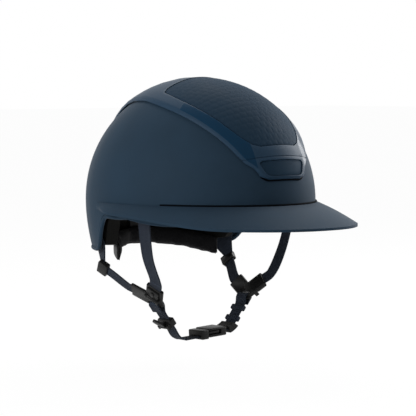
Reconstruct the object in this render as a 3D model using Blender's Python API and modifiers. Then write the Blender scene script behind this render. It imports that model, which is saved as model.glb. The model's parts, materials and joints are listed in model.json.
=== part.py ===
"""Equestrian riding helmet with a wide peak, as an assembly of separate pieces.

Metres, +Z up. The wearer looks along -Y, and the wearer's left is +X. The origin is the centre of
the head opening, at the level where the dome is widest. Pieces of a left and right pair are drawn
on the left side and reflected.
"""
import math

import bmesh
import bpy
from mathutils import Matrix, Vector

MM = 0.001

# Fits
SEAT_GAP = 0.3 * MM
CURVED_GAP = 0.7 * MM
SLOT_CLEARANCE = 0.4 * MM
PIN_CLEARANCE = 0.3 * MM
MERGE_DISTANCE = 0.02 * MM
SHARP_ANGLE = math.radians(35.0)

# Dome and outer shell
DOME_HALF_LENGTH = 135.0 * MM
DOME_HALF_WIDTH = 110.0 * MM
DOME_HEIGHT = 125.0 * MM
DOME_TUCK_DEPTH = 150.0 * MM
SHELL_WALL = 3.0 * MM
SHELL_FRONT_DROP = 22.0 * MM
SHELL_REAR_DROP = 50.0 * MM
EAR_TOP_DROP = 13.0 * MM
EAR_RISE_START = math.radians(65.0)
EAR_ARCH_START = math.radians(100.0)
EAR_ARCH_END = math.radians(116.0)
ARCH_MARGIN = math.radians(4.0)
ARCH_SHARES = (0.5, 0.75)
SHELL_COLUMNS = 64
SHELL_ROWS = 11

# Peak
SEAM_DROP = 1.0 * MM
PEAK_FRONT_REACH = 58.0 * MM
PEAK_SIDE_REACH = 12.0 * MM
PEAK_END_REACH = 2.5 * MM
PEAK_FRONT_DROP = 20.5 * MM
PEAK_SIDE_DROP = 9.5 * MM
PEAK_END_DROP = 5.0 * MM
PEAK_EDGE = 2.6 * MM
PEAK_COLLAR = 13.0 * MM
PEAK_END_COLLAR = 6.0 * MM
PEAK_END = math.radians(106.0)
PEAK_RISE_START = math.radians(45.0)
PEAK_RISE_END = math.radians(95.0)
COLLAR_FADE_START = math.radians(60.0)
PEAK_SQUARENESS = 2.2
PEAK_DROOP = 0.3

# Rolled lip on the shell's rear edge
TRIM_RADIUS = 2.0 * MM
TRIM_START = math.radians(78.0)

# Crown band, insert and plates: sagittal angle from the front, and half-width there
BAND_OUTLINE = (
    (math.radians(9.0), 27.0 * MM),
    (math.radians(16.5), 33.0 * MM),
    (math.radians(24.0), 45.0 * MM),
    (math.radians(50.0), 62.5 * MM),
    (math.radians(77.0), 68.0 * MM),
    (math.radians(102.0), 60.0 * MM),
    (math.radians(124.0), 46.0 * MM),
    (math.radians(150.0), 36.0 * MM),
)
INSERT_OUTLINE = (
    (math.radians(28.0), 28.0 * MM),
    (math.radians(36.0), 39.0 * MM),
    (math.radians(46.0), 46.5 * MM),
    (math.radians(59.0), 53.0 * MM),
    (math.radians(73.0), 55.5 * MM),
    (math.radians(87.5), 52.5 * MM),
)
OUTLINE_COLUMNS = 72
PLATE_COLUMNS = 28
CORNER_FOCUS = 0.6
BAND_SPLIT = math.radians(101.0)
REAR_LEG = 0.4
BAND_HEIGHT = 2.4 * MM
BAND_CHAMFER = 3.2 * MM
BAND_CORNER = 8.0 * MM
INSERT_CORNER = 6.0 * MM
INSERT_HEIGHT = 2.0 * MM
INSERT_GROOVE = 0.8 * MM
FRONT_PLATE_LOW = (math.radians(11.0), 20.5 * MM)
FRONT_PLATE_HIGH = (math.radians(20.5), 29.5 * MM)
REAR_VENT_HIGH = (math.radians(128.0), 33.0 * MM)
REAR_VENT_LOW = (math.radians(144.0), 27.0 * MM)
PLATE_CORNER = 5.0 * MM
PLATE_HEIGHT = 1.5 * MM
PLATE_GROOVE = 0.5 * MM
VENT_SLOT = 3.0 * MM
VENT_BAR = 3.0 * MM
VENT_SLOT_COUNT = 5

# Impact liner and comfort pads
LINER_GAP = 0.8 * MM
LINER_WALL = 20.0 * MM
LINER_EDGE_RISE = 2.0 * MM
REBATE_DEPTH = 5.5 * MM
REBATE_TOP = 2.0 * MM
REBATE_FLOOR = 5.0 * MM
PAD_THICKNESS = 7.5 * MM
PAD_EDGE = 1.2 * MM
PAD_CHANNEL = 0.55
PAD_PULL = 2.5 * MM
BROW_PAD_END = math.radians(56.0)
BROW_PAD_LOW = -16.0 * MM
BROW_PAD_HIGH = 16.0 * MM
BROW_PAD_CHANNELS = 4
SIDE_PAD_START = math.radians(62.0)
SIDE_PAD_END = math.radians(103.0)
SIDE_PAD_LOW = -8.5 * MM
SIDE_PAD_HIGH = 26.0 * MM
SIDE_PAD_CHANNELS = 2
CROWN_PAD_REACH = math.radians(34.0)
CROWN_PAD_CHANNELS = 6

# Nape cradle
CRADLE_CLEARANCE = 1.0 * MM
CRADLE_WALL = 2.2 * MM
CRADLE_START = math.radians(119.0)
CRADLE_TOP = -36.0 * MM
CRADLE_LOW = -51.0 * MM
CRADLE_END_TOP = -48.0 * MM
CRADLE_END_LOW = -64.0 * MM
NAPE_PAD_MARGIN = 2.5 * MM
NAPE_PAD_CHANNELS = 4
TRACK_WIDTH = 18.0 * MM
TRACK_TOP = -14.0 * MM
TRACK_LOW = -46.0 * MM

# Webbing and its anchors
STRAP_WIDTH = 15.0 * MM
REAR_STRAP_WIDTH = 12.0 * MM
STRAP_THICKNESS = 1.8 * MM
STRAP_INSET = 2.3 * MM
FRONT_ANCHOR_AZIMUTH = math.radians(76.0)
FRONT_ANCHOR_TOP = -7.0 * MM
FRONT_ANCHOR_SIZE = (20.0 * MM, 8.0 * MM, 2.0 * MM)
REAR_ANCHOR_AZIMUTH = math.radians(120.0)
REAR_ANCHOR_TOP = -29.0 * MM
REAR_ANCHOR_SIZE = (30.0 * MM, 7.0 * MM, 2.0 * MM)
REAR_ANCHOR_INSET = 4.3 * MM
GUSSET_LEAD = 3.0 * MM
GUSSET_TOP_WIDTH = 29.0 * MM
GUSSET_EDGE_WIDTH = 25.0 * MM
GUSSET_END_WIDTH = 11.0 * MM
GUIDE_AZIMUTH = math.radians(115.5)
GUIDE_HANG = 21.0 * MM
GUIDE_SIZE = (12.0 * MM, 16.0 * MM, 7.0 * MM)
GUIDE_GRIP = 4.5 * MM

# Strap dividers: the plate leans in towards the chin
DIVIDER_HALF_SPAN = 64.5 * MM
DIVIDER_AHEAD = 3.0 * MM
DIVIDER_DROP = 102.5 * MM
DIVIDER_LEAN = math.radians(36.9)
DIVIDER_THICKNESS = 4.5 * MM
FRONT_ARM_LENGTH = 24.0 * MM
FRONT_ARM_ANGLE = math.radians(39.5)
REAR_ARM_LENGTH = 29.0 * MM
REAR_ARM_ANGLE = math.radians(62.0)
ARM_SIDE_WALL = 2.5 * MM
ARM_STEP = 0.3 * MM
ARM_GRIP = 11.0 * MM
BAR_HEIGHT = 4.0 * MM
WINDOW_HEIGHT = 4.0 * MM
BASE_TOP = -8.0 * MM
BODY_ROUNDING = 0.9 * MM
FLAP_LENGTH = 14.0 * MM
FLAP_WIDTH = 14.0 * MM
FLAP_THICKNESS = 2.0 * MM
FLAP_PIVOT = 8.5 * MM
FLAP_BOSS = (7.0 * MM, 4.6 * MM, 1.2 * MM)
HINGE_PIN_RADIUS = 0.9 * MM
HINGE_BARREL_RADIUS = 2.0 * MM
HINGE_BARREL_LENGTH = 12.0 * MM
HINGE_LUG_WIDTH = 2.4 * MM

# Chin straps: distances run down along the divider's plate from its centre
CHIN_LOOP_TAIL = 13.0 * MM
CHIN_STRAIGHT_START = 15.0 * MM
CHIN_STRAIGHT_END = 38.0 * MM
KEEPER_LENGTH = 6.0 * MM
KEEPER_WALL = 1.5 * MM
UPPER_KEEPER = 19.7 * MM
LOWER_KEEPER = 33.0 * MM
SLIDER_CENTRE = 29.0 * MM
SLIDER_LENGTH = 9.0 * MM
SLIDER_WALL = 2.2 * MM
LEVER_LENGTH = 16.0 * MM
LEVER_WIDTH = 10.0 * MM
LEVER_THICKNESS = 2.4 * MM
LEVER_LIFT = math.radians(25.0)
SLEEVE_WALL = 2.0 * MM
SLEEVE_MARGIN = 1.5 * MM
CHIN_BEND = 5.0 * MM

# Chin buckle: local x runs from the plug into the socket, starting at the socket's mouth
BUCKLE_SIDE = 2.0 * MM
BUCKLE_DROP = 141.5 * MM
BUCKLE_TILT = math.radians(3.0)
BUCKLE_WIDTH = 23.0 * MM
SOCKET_LENGTH = 24.0 * MM
SOCKET_LOW = -4.2 * MM
SOCKET_HIGH = 5.0 * MM
CAVITY_DEPTH = 16.5 * MM
PLUG_LENGTH = 10.0 * MM
PLUG_LOW = -5.4 * MM
PLUG_HIGH = 4.2 * MM
PLUG_STRAP_LEVEL = -2.8 * MM
TONGUE_LENGTH = 15.0 * MM
TONGUE_WIDTH = 6.0 * MM
PRONG_LENGTH = 15.0 * MM
PRONG_WIDTH = 4.2 * MM
INNER_LOW = -1.1 * MM
INNER_HIGH = 2.8 * MM
BUCKLE_PLAY = 0.4 * MM

# Colours
NAVY = (0.024, 0.044, 0.068)
NAVY_GLOSS = (0.018, 0.036, 0.058)
NAVY_WEB = (0.030, 0.042, 0.060)
BLACK_PLASTIC = (0.014, 0.014, 0.014)
BLACK_FABRIC = (0.008, 0.008, 0.008)
FOAM = (0.020, 0.020, 0.018)
STEEL = (0.45, 0.45, 0.45)

LEFT = 1
RIGHT = -1
SIDE_NAMES = {LEFT: "left", RIGHT: "right"}

for old in list(bpy.data.objects):
    bpy.data.objects.remove(old, do_unlink=True)

parts = bpy.data.collections.new("riding_helmet")
cutters = bpy.data.collections.new("riding_helmet_cutters")
bpy.context.scene.collection.children.link(parts)
bpy.context.scene.collection.children.link(cutters)


# Small helpers

def mix(first, second, share):
    return first + (second - first) * share


def ease(start, end, value):
    share = min(max((value - start) / (end - start), 0.0), 1.0)
    return share * share * (3.0 - 2.0 * share)


def through(points, share):
    """Value at a share of the way along a smooth curve through the points."""
    spans = len(points) - 1
    span = min(int(max(share, 0.0) * spans), spans - 1)
    s = share * spans - span
    before = points[span - 1] if span else points[0] * 2.0 - points[1]
    start = points[span]
    end = points[span + 1]
    after = points[span + 2] if span + 2 <= spans else points[-1] * 2.0 - points[-2]
    return 0.5 * (2.0 * start + (end - before) * s
                  + (2.0 * before - 5.0 * start + 4.0 * end - after) * s ** 2
                  + (3.0 * start - before - 3.0 * end + after) * s ** 3)


def route(points, share):
    """Point at a share of the way along a smooth path, whose bends follow the points' spacing."""
    spans = len(points) - 1
    span = min(int(max(share, 0.0) * spans), spans - 1)
    start = points[span]
    end = points[span + 1]
    before = points[span - 1] if span else start * 2.0 - end
    after = points[span + 2] if span + 2 <= spans else end * 2.0 - start
    knots = [0.0]
    for first, second in ((before, start), (start, end), (end, after)):
        knots.append(knots[-1] + math.sqrt((second - first).length))
    here = mix(knots[1], knots[2], share * spans - span)

    def blend(first, second, low, high):
        return first.lerp(second, (here - knots[low]) / (knots[high] - knots[low]))

    middle = blend(start, end, 1, 2)
    lead = blend(blend(before, start, 0, 1), middle, 0, 2)
    tail = blend(middle, blend(end, after, 2, 3), 1, 3)
    return blend(lead, tail, 1, 2)


def half_width(outline, angle):
    """Half-width of an outline at a sagittal angle, smooth through its points."""
    angles = [point[0] for point in outline]
    widths = [point[1] for point in outline]
    low, high = 0.0, 1.0
    for _ in range(40):
        middle = 0.5 * (low + high)
        if through(angles, middle) < angle:
            low = middle
        else:
            high = middle
    return through(widths, low)


def frame(origin, x_axis, z_axis):
    z = z_axis.normalized()
    y = z.cross(x_axis).normalized()
    matrix = Matrix((y.cross(z), y, z)).transposed().to_4x4()
    matrix.translation = origin
    return matrix


def surface(columns, rows, place):
    """Open grid whose points are put in place by their shares along and across."""
    bm = bmesh.new()
    bmesh.ops.create_grid(bm, x_segments=columns, y_segments=rows, size=0.5)
    for vert in bm.verts:
        vert.co = place(vert.co.x + 0.5, vert.co.y + 0.5)
    bmesh.ops.remove_doubles(bm, verts=bm.verts, dist=MERGE_DISTANCE)
    return bm


def loft(columns, ring, place):
    """Closed body through rings of points; place takes a share along and a ring index."""
    bm = surface(columns, ring, lambda along, across: place(along, round(across * ring) % ring))
    ends = [edge for edge in bm.edges if edge.is_boundary]
    bmesh.ops.holes_fill(bm, edges=ends, sides=0)
    bmesh.ops.recalc_face_normals(bm, faces=bm.faces)
    return bm


def box(low, high, matrix=Matrix(), rounding=0.0):
    low = Vector(low)
    high = Vector(high)
    bm = bmesh.new()
    place = Matrix.Translation((low + high) / 2.0) @ Matrix.Diagonal((*(high - low), 1.0))
    bmesh.ops.create_cube(bm, size=1.0, matrix=place)
    if rounding:
        bmesh.ops.bevel(bm, geom=list(bm.edges), offset=rounding, segments=1, affect="EDGES")
    bm.transform(matrix)
    return bm


def cylinder(radius, length, matrix, stretch=1.0, segments=20):
    """Cylinder along local z, stretched along local x."""
    bm = bmesh.new()
    bmesh.ops.create_cone(bm, cap_ends=True, segments=segments, radius1=radius, radius2=radius,
                          depth=length)
    bm.transform(matrix @ Matrix.Diagonal((stretch, 1.0, 1.0, 1.0)))
    return bm


def mesh_object(name, bm, collection, side=LEFT, origin=Vector()):
    if side == RIGHT:
        bm.transform(Matrix.Diagonal((-1.0, 1.0, 1.0, 1.0)))
        bmesh.ops.reverse_faces(bm, faces=bm.faces)
        origin = Vector((-origin.x, origin.y, origin.z))
    bm.transform(Matrix.Translation(-origin))
    mesh = bpy.data.meshes.new(name)
    bm.to_mesh(mesh)
    bm.free()
    made = bpy.data.objects.new(name, mesh)
    made.location = origin
    collection.objects.link(made)
    return made


def finish(made, colour, roughness, metallic=0.0):
    material = bpy.data.materials.new(made.name)
    material.use_nodes = True
    shader = material.node_tree.nodes["Principled BSDF"]
    shader.inputs["Base Color"].default_value = (*colour, 1.0)
    shader.inputs["Roughness"].default_value = roughness
    shader.inputs["Metallic"].default_value = metallic
    made.data.materials.append(material)


def part(name, bm, colour, roughness, metallic=0.0, side=LEFT, origin=Vector()):
    made = mesh_object(name, bm, parts, side, origin)
    finish(made, colour, roughness, metallic)
    return made


def combine(made, bm, operation, side=LEFT):
    """Cut a shape out of a part, or join one to it."""
    name = f"{made.name}_{operation.lower()}_{len(made.modifiers)}"
    tool = mesh_object(name, bm, cutters, side)
    tool.hide_render = True
    tool.display_type = "WIRE"
    step = made.modifiers.new(tool.name, "BOOLEAN")
    step.operation = operation
    step.solver = "EXACT"
    step.object = tool
    return tool


def thicken(made, wall, offset):
    step = made.modifiers.new("wall", "SOLIDIFY")
    step.thickness = wall
    step.offset = offset
    step.use_even_offset = True


def round_shade(made):
    made.data.shade_smooth()
    made.data.set_sharp_from_angle(angle=SHARP_ANGLE)


# Dome

def latitude_at(height):
    return math.asin(height / (DOME_HEIGHT if height > 0.0 else DOME_TUCK_DEPTH))


def dome(azimuth, latitude, inset=0.0):
    """Point inside the dome by the inset; azimuth 0 is the front, positive to the left."""
    rise = DOME_HEIGHT - inset if latitude > 0.0 else DOME_TUCK_DEPTH
    ring = math.cos(latitude)
    return Vector(((DOME_HALF_WIDTH - inset) * ring * math.sin(azimuth),
                   -(DOME_HALF_LENGTH - inset) * ring * math.cos(azimuth),
                   rise * math.sin(latitude)))


def outward_at(azimuth):
    """Level direction out of the dome."""
    return Vector((math.sin(azimuth) / DOME_HALF_WIDTH,
                   -math.cos(azimuth) / DOME_HALF_LENGTH, 0.0)).normalized()


def turn_at(share):
    """Azimuth at a share of the whole turn; columns crowd round the ear arches."""
    half = 1.0 - abs(2.0 * share - 1.0)
    start = EAR_ARCH_START - ARCH_MARGIN
    end = EAR_ARCH_END + ARCH_MARGIN
    if half < ARCH_SHARES[0]:
        azimuth = start * half / ARCH_SHARES[0]
    elif half < ARCH_SHARES[1]:
        azimuth = mix(start, end, (half - ARCH_SHARES[0]) / (ARCH_SHARES[1] - ARCH_SHARES[0]))
    else:
        azimuth = mix(end, math.pi, (half - ARCH_SHARES[1]) / (1.0 - ARCH_SHARES[1]))
    return azimuth if share <= 0.5 else math.tau - azimuth


def shell_edge(azimuth):
    """Height of the shell's lower edge: level in front, up to the ear arch, down behind it."""
    angle = min(azimuth, math.tau - azimuth)
    ahead = mix(SHELL_FRONT_DROP, EAR_TOP_DROP, ease(EAR_RISE_START, EAR_ARCH_START, angle))
    return -mix(ahead, SHELL_REAR_DROP, ease(EAR_ARCH_START, EAR_ARCH_END, angle))


def crown(angle, across, raised):
    """Point above the dome, at a sagittal angle from the front and a distance to the side."""
    side = math.asin(across / DOME_HALF_WIDTH)
    point = Vector((across,
                    -DOME_HALF_LENGTH * math.cos(side) * math.cos(angle),
                    DOME_HEIGHT * math.cos(side) * math.sin(angle)))
    normal = Vector((point.x / DOME_HALF_WIDTH ** 2,
                     point.y / DOME_HALF_LENGTH ** 2,
                     point.z / DOME_HEIGHT ** 2)).normalized()
    return point + normal * raised


def make_shell():
    def place(along, up):
        azimuth = turn_at(along)
        return dome(azimuth, mix(latitude_at(shell_edge(azimuth)), math.pi / 2.0, up))

    shell = part("outer_shell", surface(SHELL_COLUMNS, SHELL_ROWS, place), NAVY, 0.55)
    thicken(shell, SHELL_WALL, -1.0)
    round_shade(shell)


def make_trim():
    """Rolled lip under the shell's edge, from one ear arch round the nape to the other."""
    middle = SHELL_WALL / 2.0

    def edge_point(azimuth):
        return dome(azimuth, latitude_at(shell_edge(azimuth)), middle)

    curve = bpy.data.curves.new("rim_trim", "CURVE")
    curve.dimensions = "3D"
    curve.bevel_depth = TRIM_RADIUS
    curve.bevel_resolution = 2
    curve.use_fill_caps = True
    turns = [turn_at(column / SHELL_COLUMNS) for column in range(SHELL_COLUMNS)]
    turns = [azimuth for azimuth in turns if TRIM_START < azimuth < math.tau - TRIM_START]
    spline = curve.splines.new("POLY")
    spline.points.add(len(turns) - 1)
    step = math.radians(0.5)
    for azimuth, point in zip(turns, spline.points):
        ahead = edge_point(azimuth + step) - edge_point(azimuth - step)
        below = ahead.cross(outward_at(azimuth)).normalized()
        if below.z > 0.0:
            below = -below
        point.co = (*(edge_point(azimuth) + below * (TRIM_RADIUS + CURVED_GAP)), 1.0)
    trim = bpy.data.objects.new("rim_trim", curve)
    parts.objects.link(trim)
    finish(trim, NAVY, 0.6)


# Peak

def peak_rim(angle):
    """Top of the rim at an angle from the front."""
    reach = mix(PEAK_SIDE_REACH, PEAK_END_REACH, ease(math.pi / 2.0, PEAK_END, angle))
    if angle < math.pi / 2.0:
        power = 2.0 / PEAK_SQUARENESS
        x = (DOME_HALF_WIDTH + PEAK_SIDE_REACH) * math.sin(angle) ** power
        y = -(DOME_HALF_LENGTH + PEAK_FRONT_REACH) * math.cos(angle) ** power
    else:
        x = (DOME_HALF_WIDTH + reach) * math.sin(angle)
        y = -(DOME_HALF_LENGTH + reach) * math.cos(angle)
    drop = mix(PEAK_FRONT_DROP, PEAK_SIDE_DROP, ease(PEAK_RISE_START, PEAK_RISE_END, angle))
    drop = mix(drop, PEAK_END_DROP, ease(math.pi / 2.0, PEAK_END, angle))
    return Vector((x, y, -drop))


def make_peak():
    """Solid brim: its root hugs the dome from the seam down to the collar's foot."""
    top_rows = 6
    bottom_rows = 4
    columns = 48

    def place(along, index):
        azimuth = mix(-PEAK_END, PEAK_END, along)
        angle = abs(azimuth)
        fade = ease(COLLAR_FADE_START, PEAK_END, angle)
        seam = -SEAM_DROP
        foot = seam - mix(PEAK_COLLAR, PEAK_END_COLLAR, fade)
        rim = peak_rim(angle)
        if index < top_rows:
            share = index / (top_rows - 1)
            root = dome(angle, latitude_at(seam), -CURVED_GAP)
            point = root.lerp(rim, share)
            point.z = mix(root.z, rim.z, mix(share, share * share, PEAK_DROOP))
        else:
            share = (index - top_rows) / (bottom_rows - 1)
            root = dome(angle, latitude_at(foot), -CURVED_GAP)
            point = (rim - Vector((0.0, 0.0, PEAK_EDGE))).lerp(root, share)
        point.x = math.copysign(point.x, azimuth)
        return point

    peak = part("peak", loft(columns, top_rows + bottom_rows, place), NAVY, 0.5)
    round_shade(peak)


# Crown band and what is set in it

def rounded_width(angle, front, rear, width, corner):
    """Half-width at an angle, drawn in by the corner's round near the outline's ends."""
    from_end = min(angle - front, rear - angle) * DOME_HEIGHT
    inside = max(corner - from_end, 0.0)
    return width - corner + math.sqrt(max(corner ** 2 - inside ** 2, 0.0))


def outline_point(share, front, rear, width_at, corner):
    """Point on a closed outline round the crown: left side, rear end, right side, front end."""
    turns = share * 4.0 % 4.0
    stretch = int(turns)
    even = turns - stretch
    if stretch in (0, 2):
        along = mix(even, (1.0 - math.cos(math.pi * even)) / 2.0, CORNER_FOCUS)
        angle = mix(front, rear, along if stretch == 0 else 1.0 - along)
        across = rounded_width(angle, front, rear, width_at(angle), corner)
    else:
        angle = rear if stretch == 1 else front
        across = mix(1.0, -1.0, even) * (width_at(angle) - corner)
    return angle, across if stretch < 2 else -across


def straight_sides(front, rear):
    def width_at(angle):
        return mix(front[1], rear[1], (angle - front[0]) / (rear[0] - front[0]))

    return width_at


def insert_outline(share, grow):
    front = INSERT_OUTLINE[0][0] - grow / DOME_HEIGHT
    rear = INSERT_OUTLINE[-1][0] + grow / DOME_HEIGHT
    return outline_point(share, front, rear, lambda angle: half_width(INSERT_OUTLINE, angle) + grow,
                         INSERT_CORNER + grow)


def band_outline(share, grow=0.0):
    """As outline_point, but the rear stretch also takes in the sides behind the split."""
    front = BAND_OUTLINE[0][0] - grow / DOME_HEIGHT
    rear = BAND_OUTLINE[-1][0] + grow / DOME_HEIGHT
    corner = BAND_CORNER + grow
    turns = share * 4.0 % 4.0
    stretch = int(turns)
    even = turns - stretch

    def width(angle):
        return rounded_width(angle, front, rear, half_width(BAND_OUTLINE, angle) + grow, corner)

    if stretch in (0, 2):
        back = even if stretch == 0 else 1.0 - even
        angle = mix(front, BAND_SPLIT, mix(back, 1.0 - math.cos(math.pi * back / 2.0), CORNER_FOCUS))
        across = width(angle)
    elif stretch == 1:
        reach = min(even, 1.0 - even) / REAR_LEG
        bent = mix(reach, math.sin(math.pi * min(reach, 1.0) / 2.0), CORNER_FOCUS)
        angle = mix(BAND_SPLIT, rear, min(bent, 1.0))
        level = min(max((even - REAR_LEG) / (1.0 - 2.0 * REAR_LEG), 0.0), 1.0)
        across = width(angle) * mix(1.0, -1.0, level)
    else:
        angle = front
        across = width(angle) * mix(1.0, -1.0, even)
    return angle, across if stretch < 2 else -across


def patch(columns, rings, outline, foot, height):
    """Closed pad-like plate on the crown, from its outline to its middle, between two heights."""
    edge = [outline(index / columns) for index in range(columns)]
    middle = (0.5 * (max(point[0] for point in edge) + min(point[0] for point in edge)), 0.0)
    rows = 2 * rings + 1

    def place(along, across):
        angle, side = outline(along)
        row = round(across * rows)
        share = min(row, rows - row) / rings
        raised = foot if row <= rings else height
        return crown(mix(middle[0], angle, share), mix(middle[1], side, share), raised)

    bm = surface(columns, rows, place)
    bmesh.ops.recalc_face_normals(bm, faces=bm.faces)
    return bm


def make_band():
    spans = 7
    ring = 2 * spans + 3
    top = CURVED_GAP + BAND_HEIGHT

    def place(along, index):
        outer = Vector(band_outline(along))
        inner = Vector(insert_outline(along, INSERT_GROOVE))
        if index <= spans:
            angle, side = outer.lerp(inner, index / spans)
            raised = CURVED_GAP
        elif index < ring - 1:
            brow = Vector(band_outline(along, -BAND_CHAMFER))
            angle, side = inner.lerp(brow, (index - spans - 1) / spans)
            raised = top
        else:
            angle, side = outer
            raised = CURVED_GAP + BAND_HEIGHT / 4.0
        return crown(angle, side, raised)

    band = part("crown_band", loft(OUTLINE_COLUMNS, ring, place), NAVY_GLOSS, 0.3)
    for plate in (front_plate_outline, rear_vent_outline):
        def pocket(share, plate=plate):
            return plate(share, PLATE_GROOVE)

        combine(band, patch(PLATE_COLUMNS, 2, pocket, -BAND_HEIGHT, 2.0 * top), "DIFFERENCE")


def front_plate_outline(share, grow=0.0):
    low = (FRONT_PLATE_LOW[0] - grow / DOME_HEIGHT, FRONT_PLATE_LOW[1] + grow)
    high = (FRONT_PLATE_HIGH[0] + grow / DOME_HEIGHT, FRONT_PLATE_HIGH[1] + grow)
    return outline_point(share, low[0], high[0], straight_sides(low, high), PLATE_CORNER)


def rear_vent_outline(share, grow=0.0):
    high = (REAR_VENT_HIGH[0] - grow / DOME_HEIGHT, REAR_VENT_HIGH[1] + grow)
    low = (REAR_VENT_LOW[0] + grow / DOME_HEIGHT, REAR_VENT_LOW[1] + grow)
    return outline_point(share, high[0], low[0], straight_sides(high, low), PLATE_CORNER)


def make_crown_plates():
    def insert_edge(share):
        return insert_outline(share, 0.0)

    foot = CURVED_GAP
    part("top_insert", patch(OUTLINE_COLUMNS, 4, insert_edge, foot, foot + INSERT_HEIGHT), NAVY, 0.5)
    part("front_plate", patch(PLATE_COLUMNS, 2, front_plate_outline, foot, foot + PLATE_HEIGHT), NAVY, 0.35)
    vent = part("rear_vent", patch(PLATE_COLUMNS, 2, rear_vent_outline, foot, foot + PLATE_HEIGHT),
                BLACK_PLASTIC, 0.5)
    middle = 0.5 * (REAR_VENT_HIGH[0] + REAR_VENT_LOW[0])
    centre = crown(middle, 0.0, 0.0)
    normal = crown(middle, 0.0, 1.0) - centre
    slope = frame(centre, Vector((1.0, 0.0, 0.0)), normal)
    length = (REAR_VENT_LOW[0] - REAR_VENT_HIGH[0]) * DOME_HEIGHT / 2.0 - 2.0 * VENT_BAR
    for index in range(VENT_SLOT_COUNT):
        x = (index - (VENT_SLOT_COUNT - 1) / 2.0) * (VENT_SLOT + VENT_BAR)
        slot = box((x - VENT_SLOT / 2.0, -length, -DOME_HEIGHT / 8.0),
                   (x + VENT_SLOT / 2.0, length, DOME_HEIGHT / 8.0), slope)
        combine(vent, slot, "DIFFERENCE")


# Liner and pads

LINER_OUTER = SHELL_WALL + LINER_GAP
LINER_INNER = LINER_OUTER + LINER_WALL


def make_liner():
    """Foam cap; a rebate round its lower edge leaves room for the webbing."""
    outer_rows = 5
    inner_rows = 9
    ring = outer_rows + 2 + inner_rows

    def place(along, across):
        azimuth = turn_at(along)
        row = round(across * ring)
        edge = shell_edge(azimuth) + LINER_EDGE_RISE
        shoulder = latitude_at(REBATE_TOP)
        if row < outer_rows:
            return dome(azimuth, mix(math.pi / 2.0, shoulder, row / (outer_rows - 1)), LINER_OUTER)
        if row == outer_rows:
            return dome(azimuth, latitude_at(-REBATE_FLOOR), LINER_OUTER + REBATE_DEPTH)
        if row == outer_rows + 1:
            return dome(azimuth, latitude_at(edge), LINER_OUTER + REBATE_DEPTH)
        share = (row - outer_rows - 2) / inner_rows
        return dome(azimuth, mix(latitude_at(edge), math.pi / 2.0, share), LINER_INNER)

    bm = surface(SHELL_COLUMNS, ring, place)
    bmesh.ops.recalc_face_normals(bm, faces=bm.faces)
    liner = part("impact_liner", bm, FOAM, 0.9)
    round_shade(liner)


def on_liner(azimuth, height, depth):
    return dome(azimuth, latitude_at(height), LINER_INNER + CURVED_GAP + depth)


def sewn(along, channels):
    """Fullness along a pad: full between its sewn channels, drawn in at each and at the ends."""
    ripple = abs(math.sin(math.pi * along * (channels + 1)))
    return mix(1.0 - PAD_CHANNEL, 1.0, ripple ** 0.6)


def pad_body(columns, base, start, end, low_at, high_at, channels):
    """Crowned pad on a wall: flat back, drawn-in edges, thickest in the middle of each cell."""
    back = 4
    face = 7

    def place(along, index):
        azimuth = mix(start, end, along)
        full = sewn(along, channels)
        ends = 1.0 - abs(2.0 * along - 1.0) ** 10
        pull = PAD_PULL * (1.0 - full)
        low = low_at(along) + pull
        high = high_at(along) - pull
        if index < back:
            return base(azimuth, mix(low, high, index / (back - 1)), 0.0)
        up = 1.0 - (index - back) / (face - 1)
        swell = math.sqrt(max(1.0 - abs(2.0 * up - 1.0) ** 3, 0.0)) * full * ends
        return base(azimuth, mix(low, high, up), mix(PAD_EDGE, PAD_THICKNESS, swell))

    return loft(columns, back + face, place)


def make_pads():
    brow = pad_body(32, on_liner, -BROW_PAD_END, BROW_PAD_END,
                    lambda along: BROW_PAD_LOW, lambda along: BROW_PAD_HIGH, BROW_PAD_CHANNELS)
    round_shade(part("brow_pad", brow, BLACK_FABRIC, 0.95))
    for side, name in SIDE_NAMES.items():
        body = pad_body(18, on_liner, SIDE_PAD_START, SIDE_PAD_END,
                        lambda along: SIDE_PAD_LOW, lambda along: SIDE_PAD_HIGH, SIDE_PAD_CHANNELS)
        round_shade(part(f"side_pad_{name}", body, BLACK_FABRIC, 0.95, side=side))

    rings = 4
    rows = 2 * rings + 1

    def place(along, across):
        row = round(across * rows)
        share = min(row, rows - row) / rings
        latitude = math.pi / 2.0 - CROWN_PAD_REACH * share
        depth = 0.0
        if row > rings:
            full = mix(1.0, sewn(along, CROWN_PAD_CHANNELS - 1), ease(0.0, 0.5, share))
            depth = mix(PAD_EDGE, PAD_THICKNESS, math.sqrt(1.0 - share ** 4) * full)
        return dome(math.tau * along, latitude, LINER_INNER + CURVED_GAP + depth)

    crown_pad = surface(36, rows, place)
    bmesh.ops.recalc_face_normals(crown_pad, faces=crown_pad.faces)
    round_shade(part("crown_pad", crown_pad, BLACK_FABRIC, 0.95))


# Nape cradle

CRADLE_RING = math.cos(latitude_at(-SHELL_REAR_DROP))


def on_cradle(azimuth, height, depth):
    """Point inside the cradle's upright wall, which clears the liner at its lowest edge."""
    half_width_here = (DOME_HALF_WIDTH - LINER_INNER) * CRADLE_RING - CRADLE_CLEARANCE - depth
    half_length_here = (DOME_HALF_LENGTH - LINER_INNER) * CRADLE_RING - CRADLE_CLEARANCE - depth
    return Vector((half_width_here * math.sin(azimuth), -half_length_here * math.cos(azimuth), height))


def cradle_sag(along):
    """0 at the middle of the nape, 1 at the cradle's ends."""
    return abs(2.0 * along - 1.0) ** 2


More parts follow.
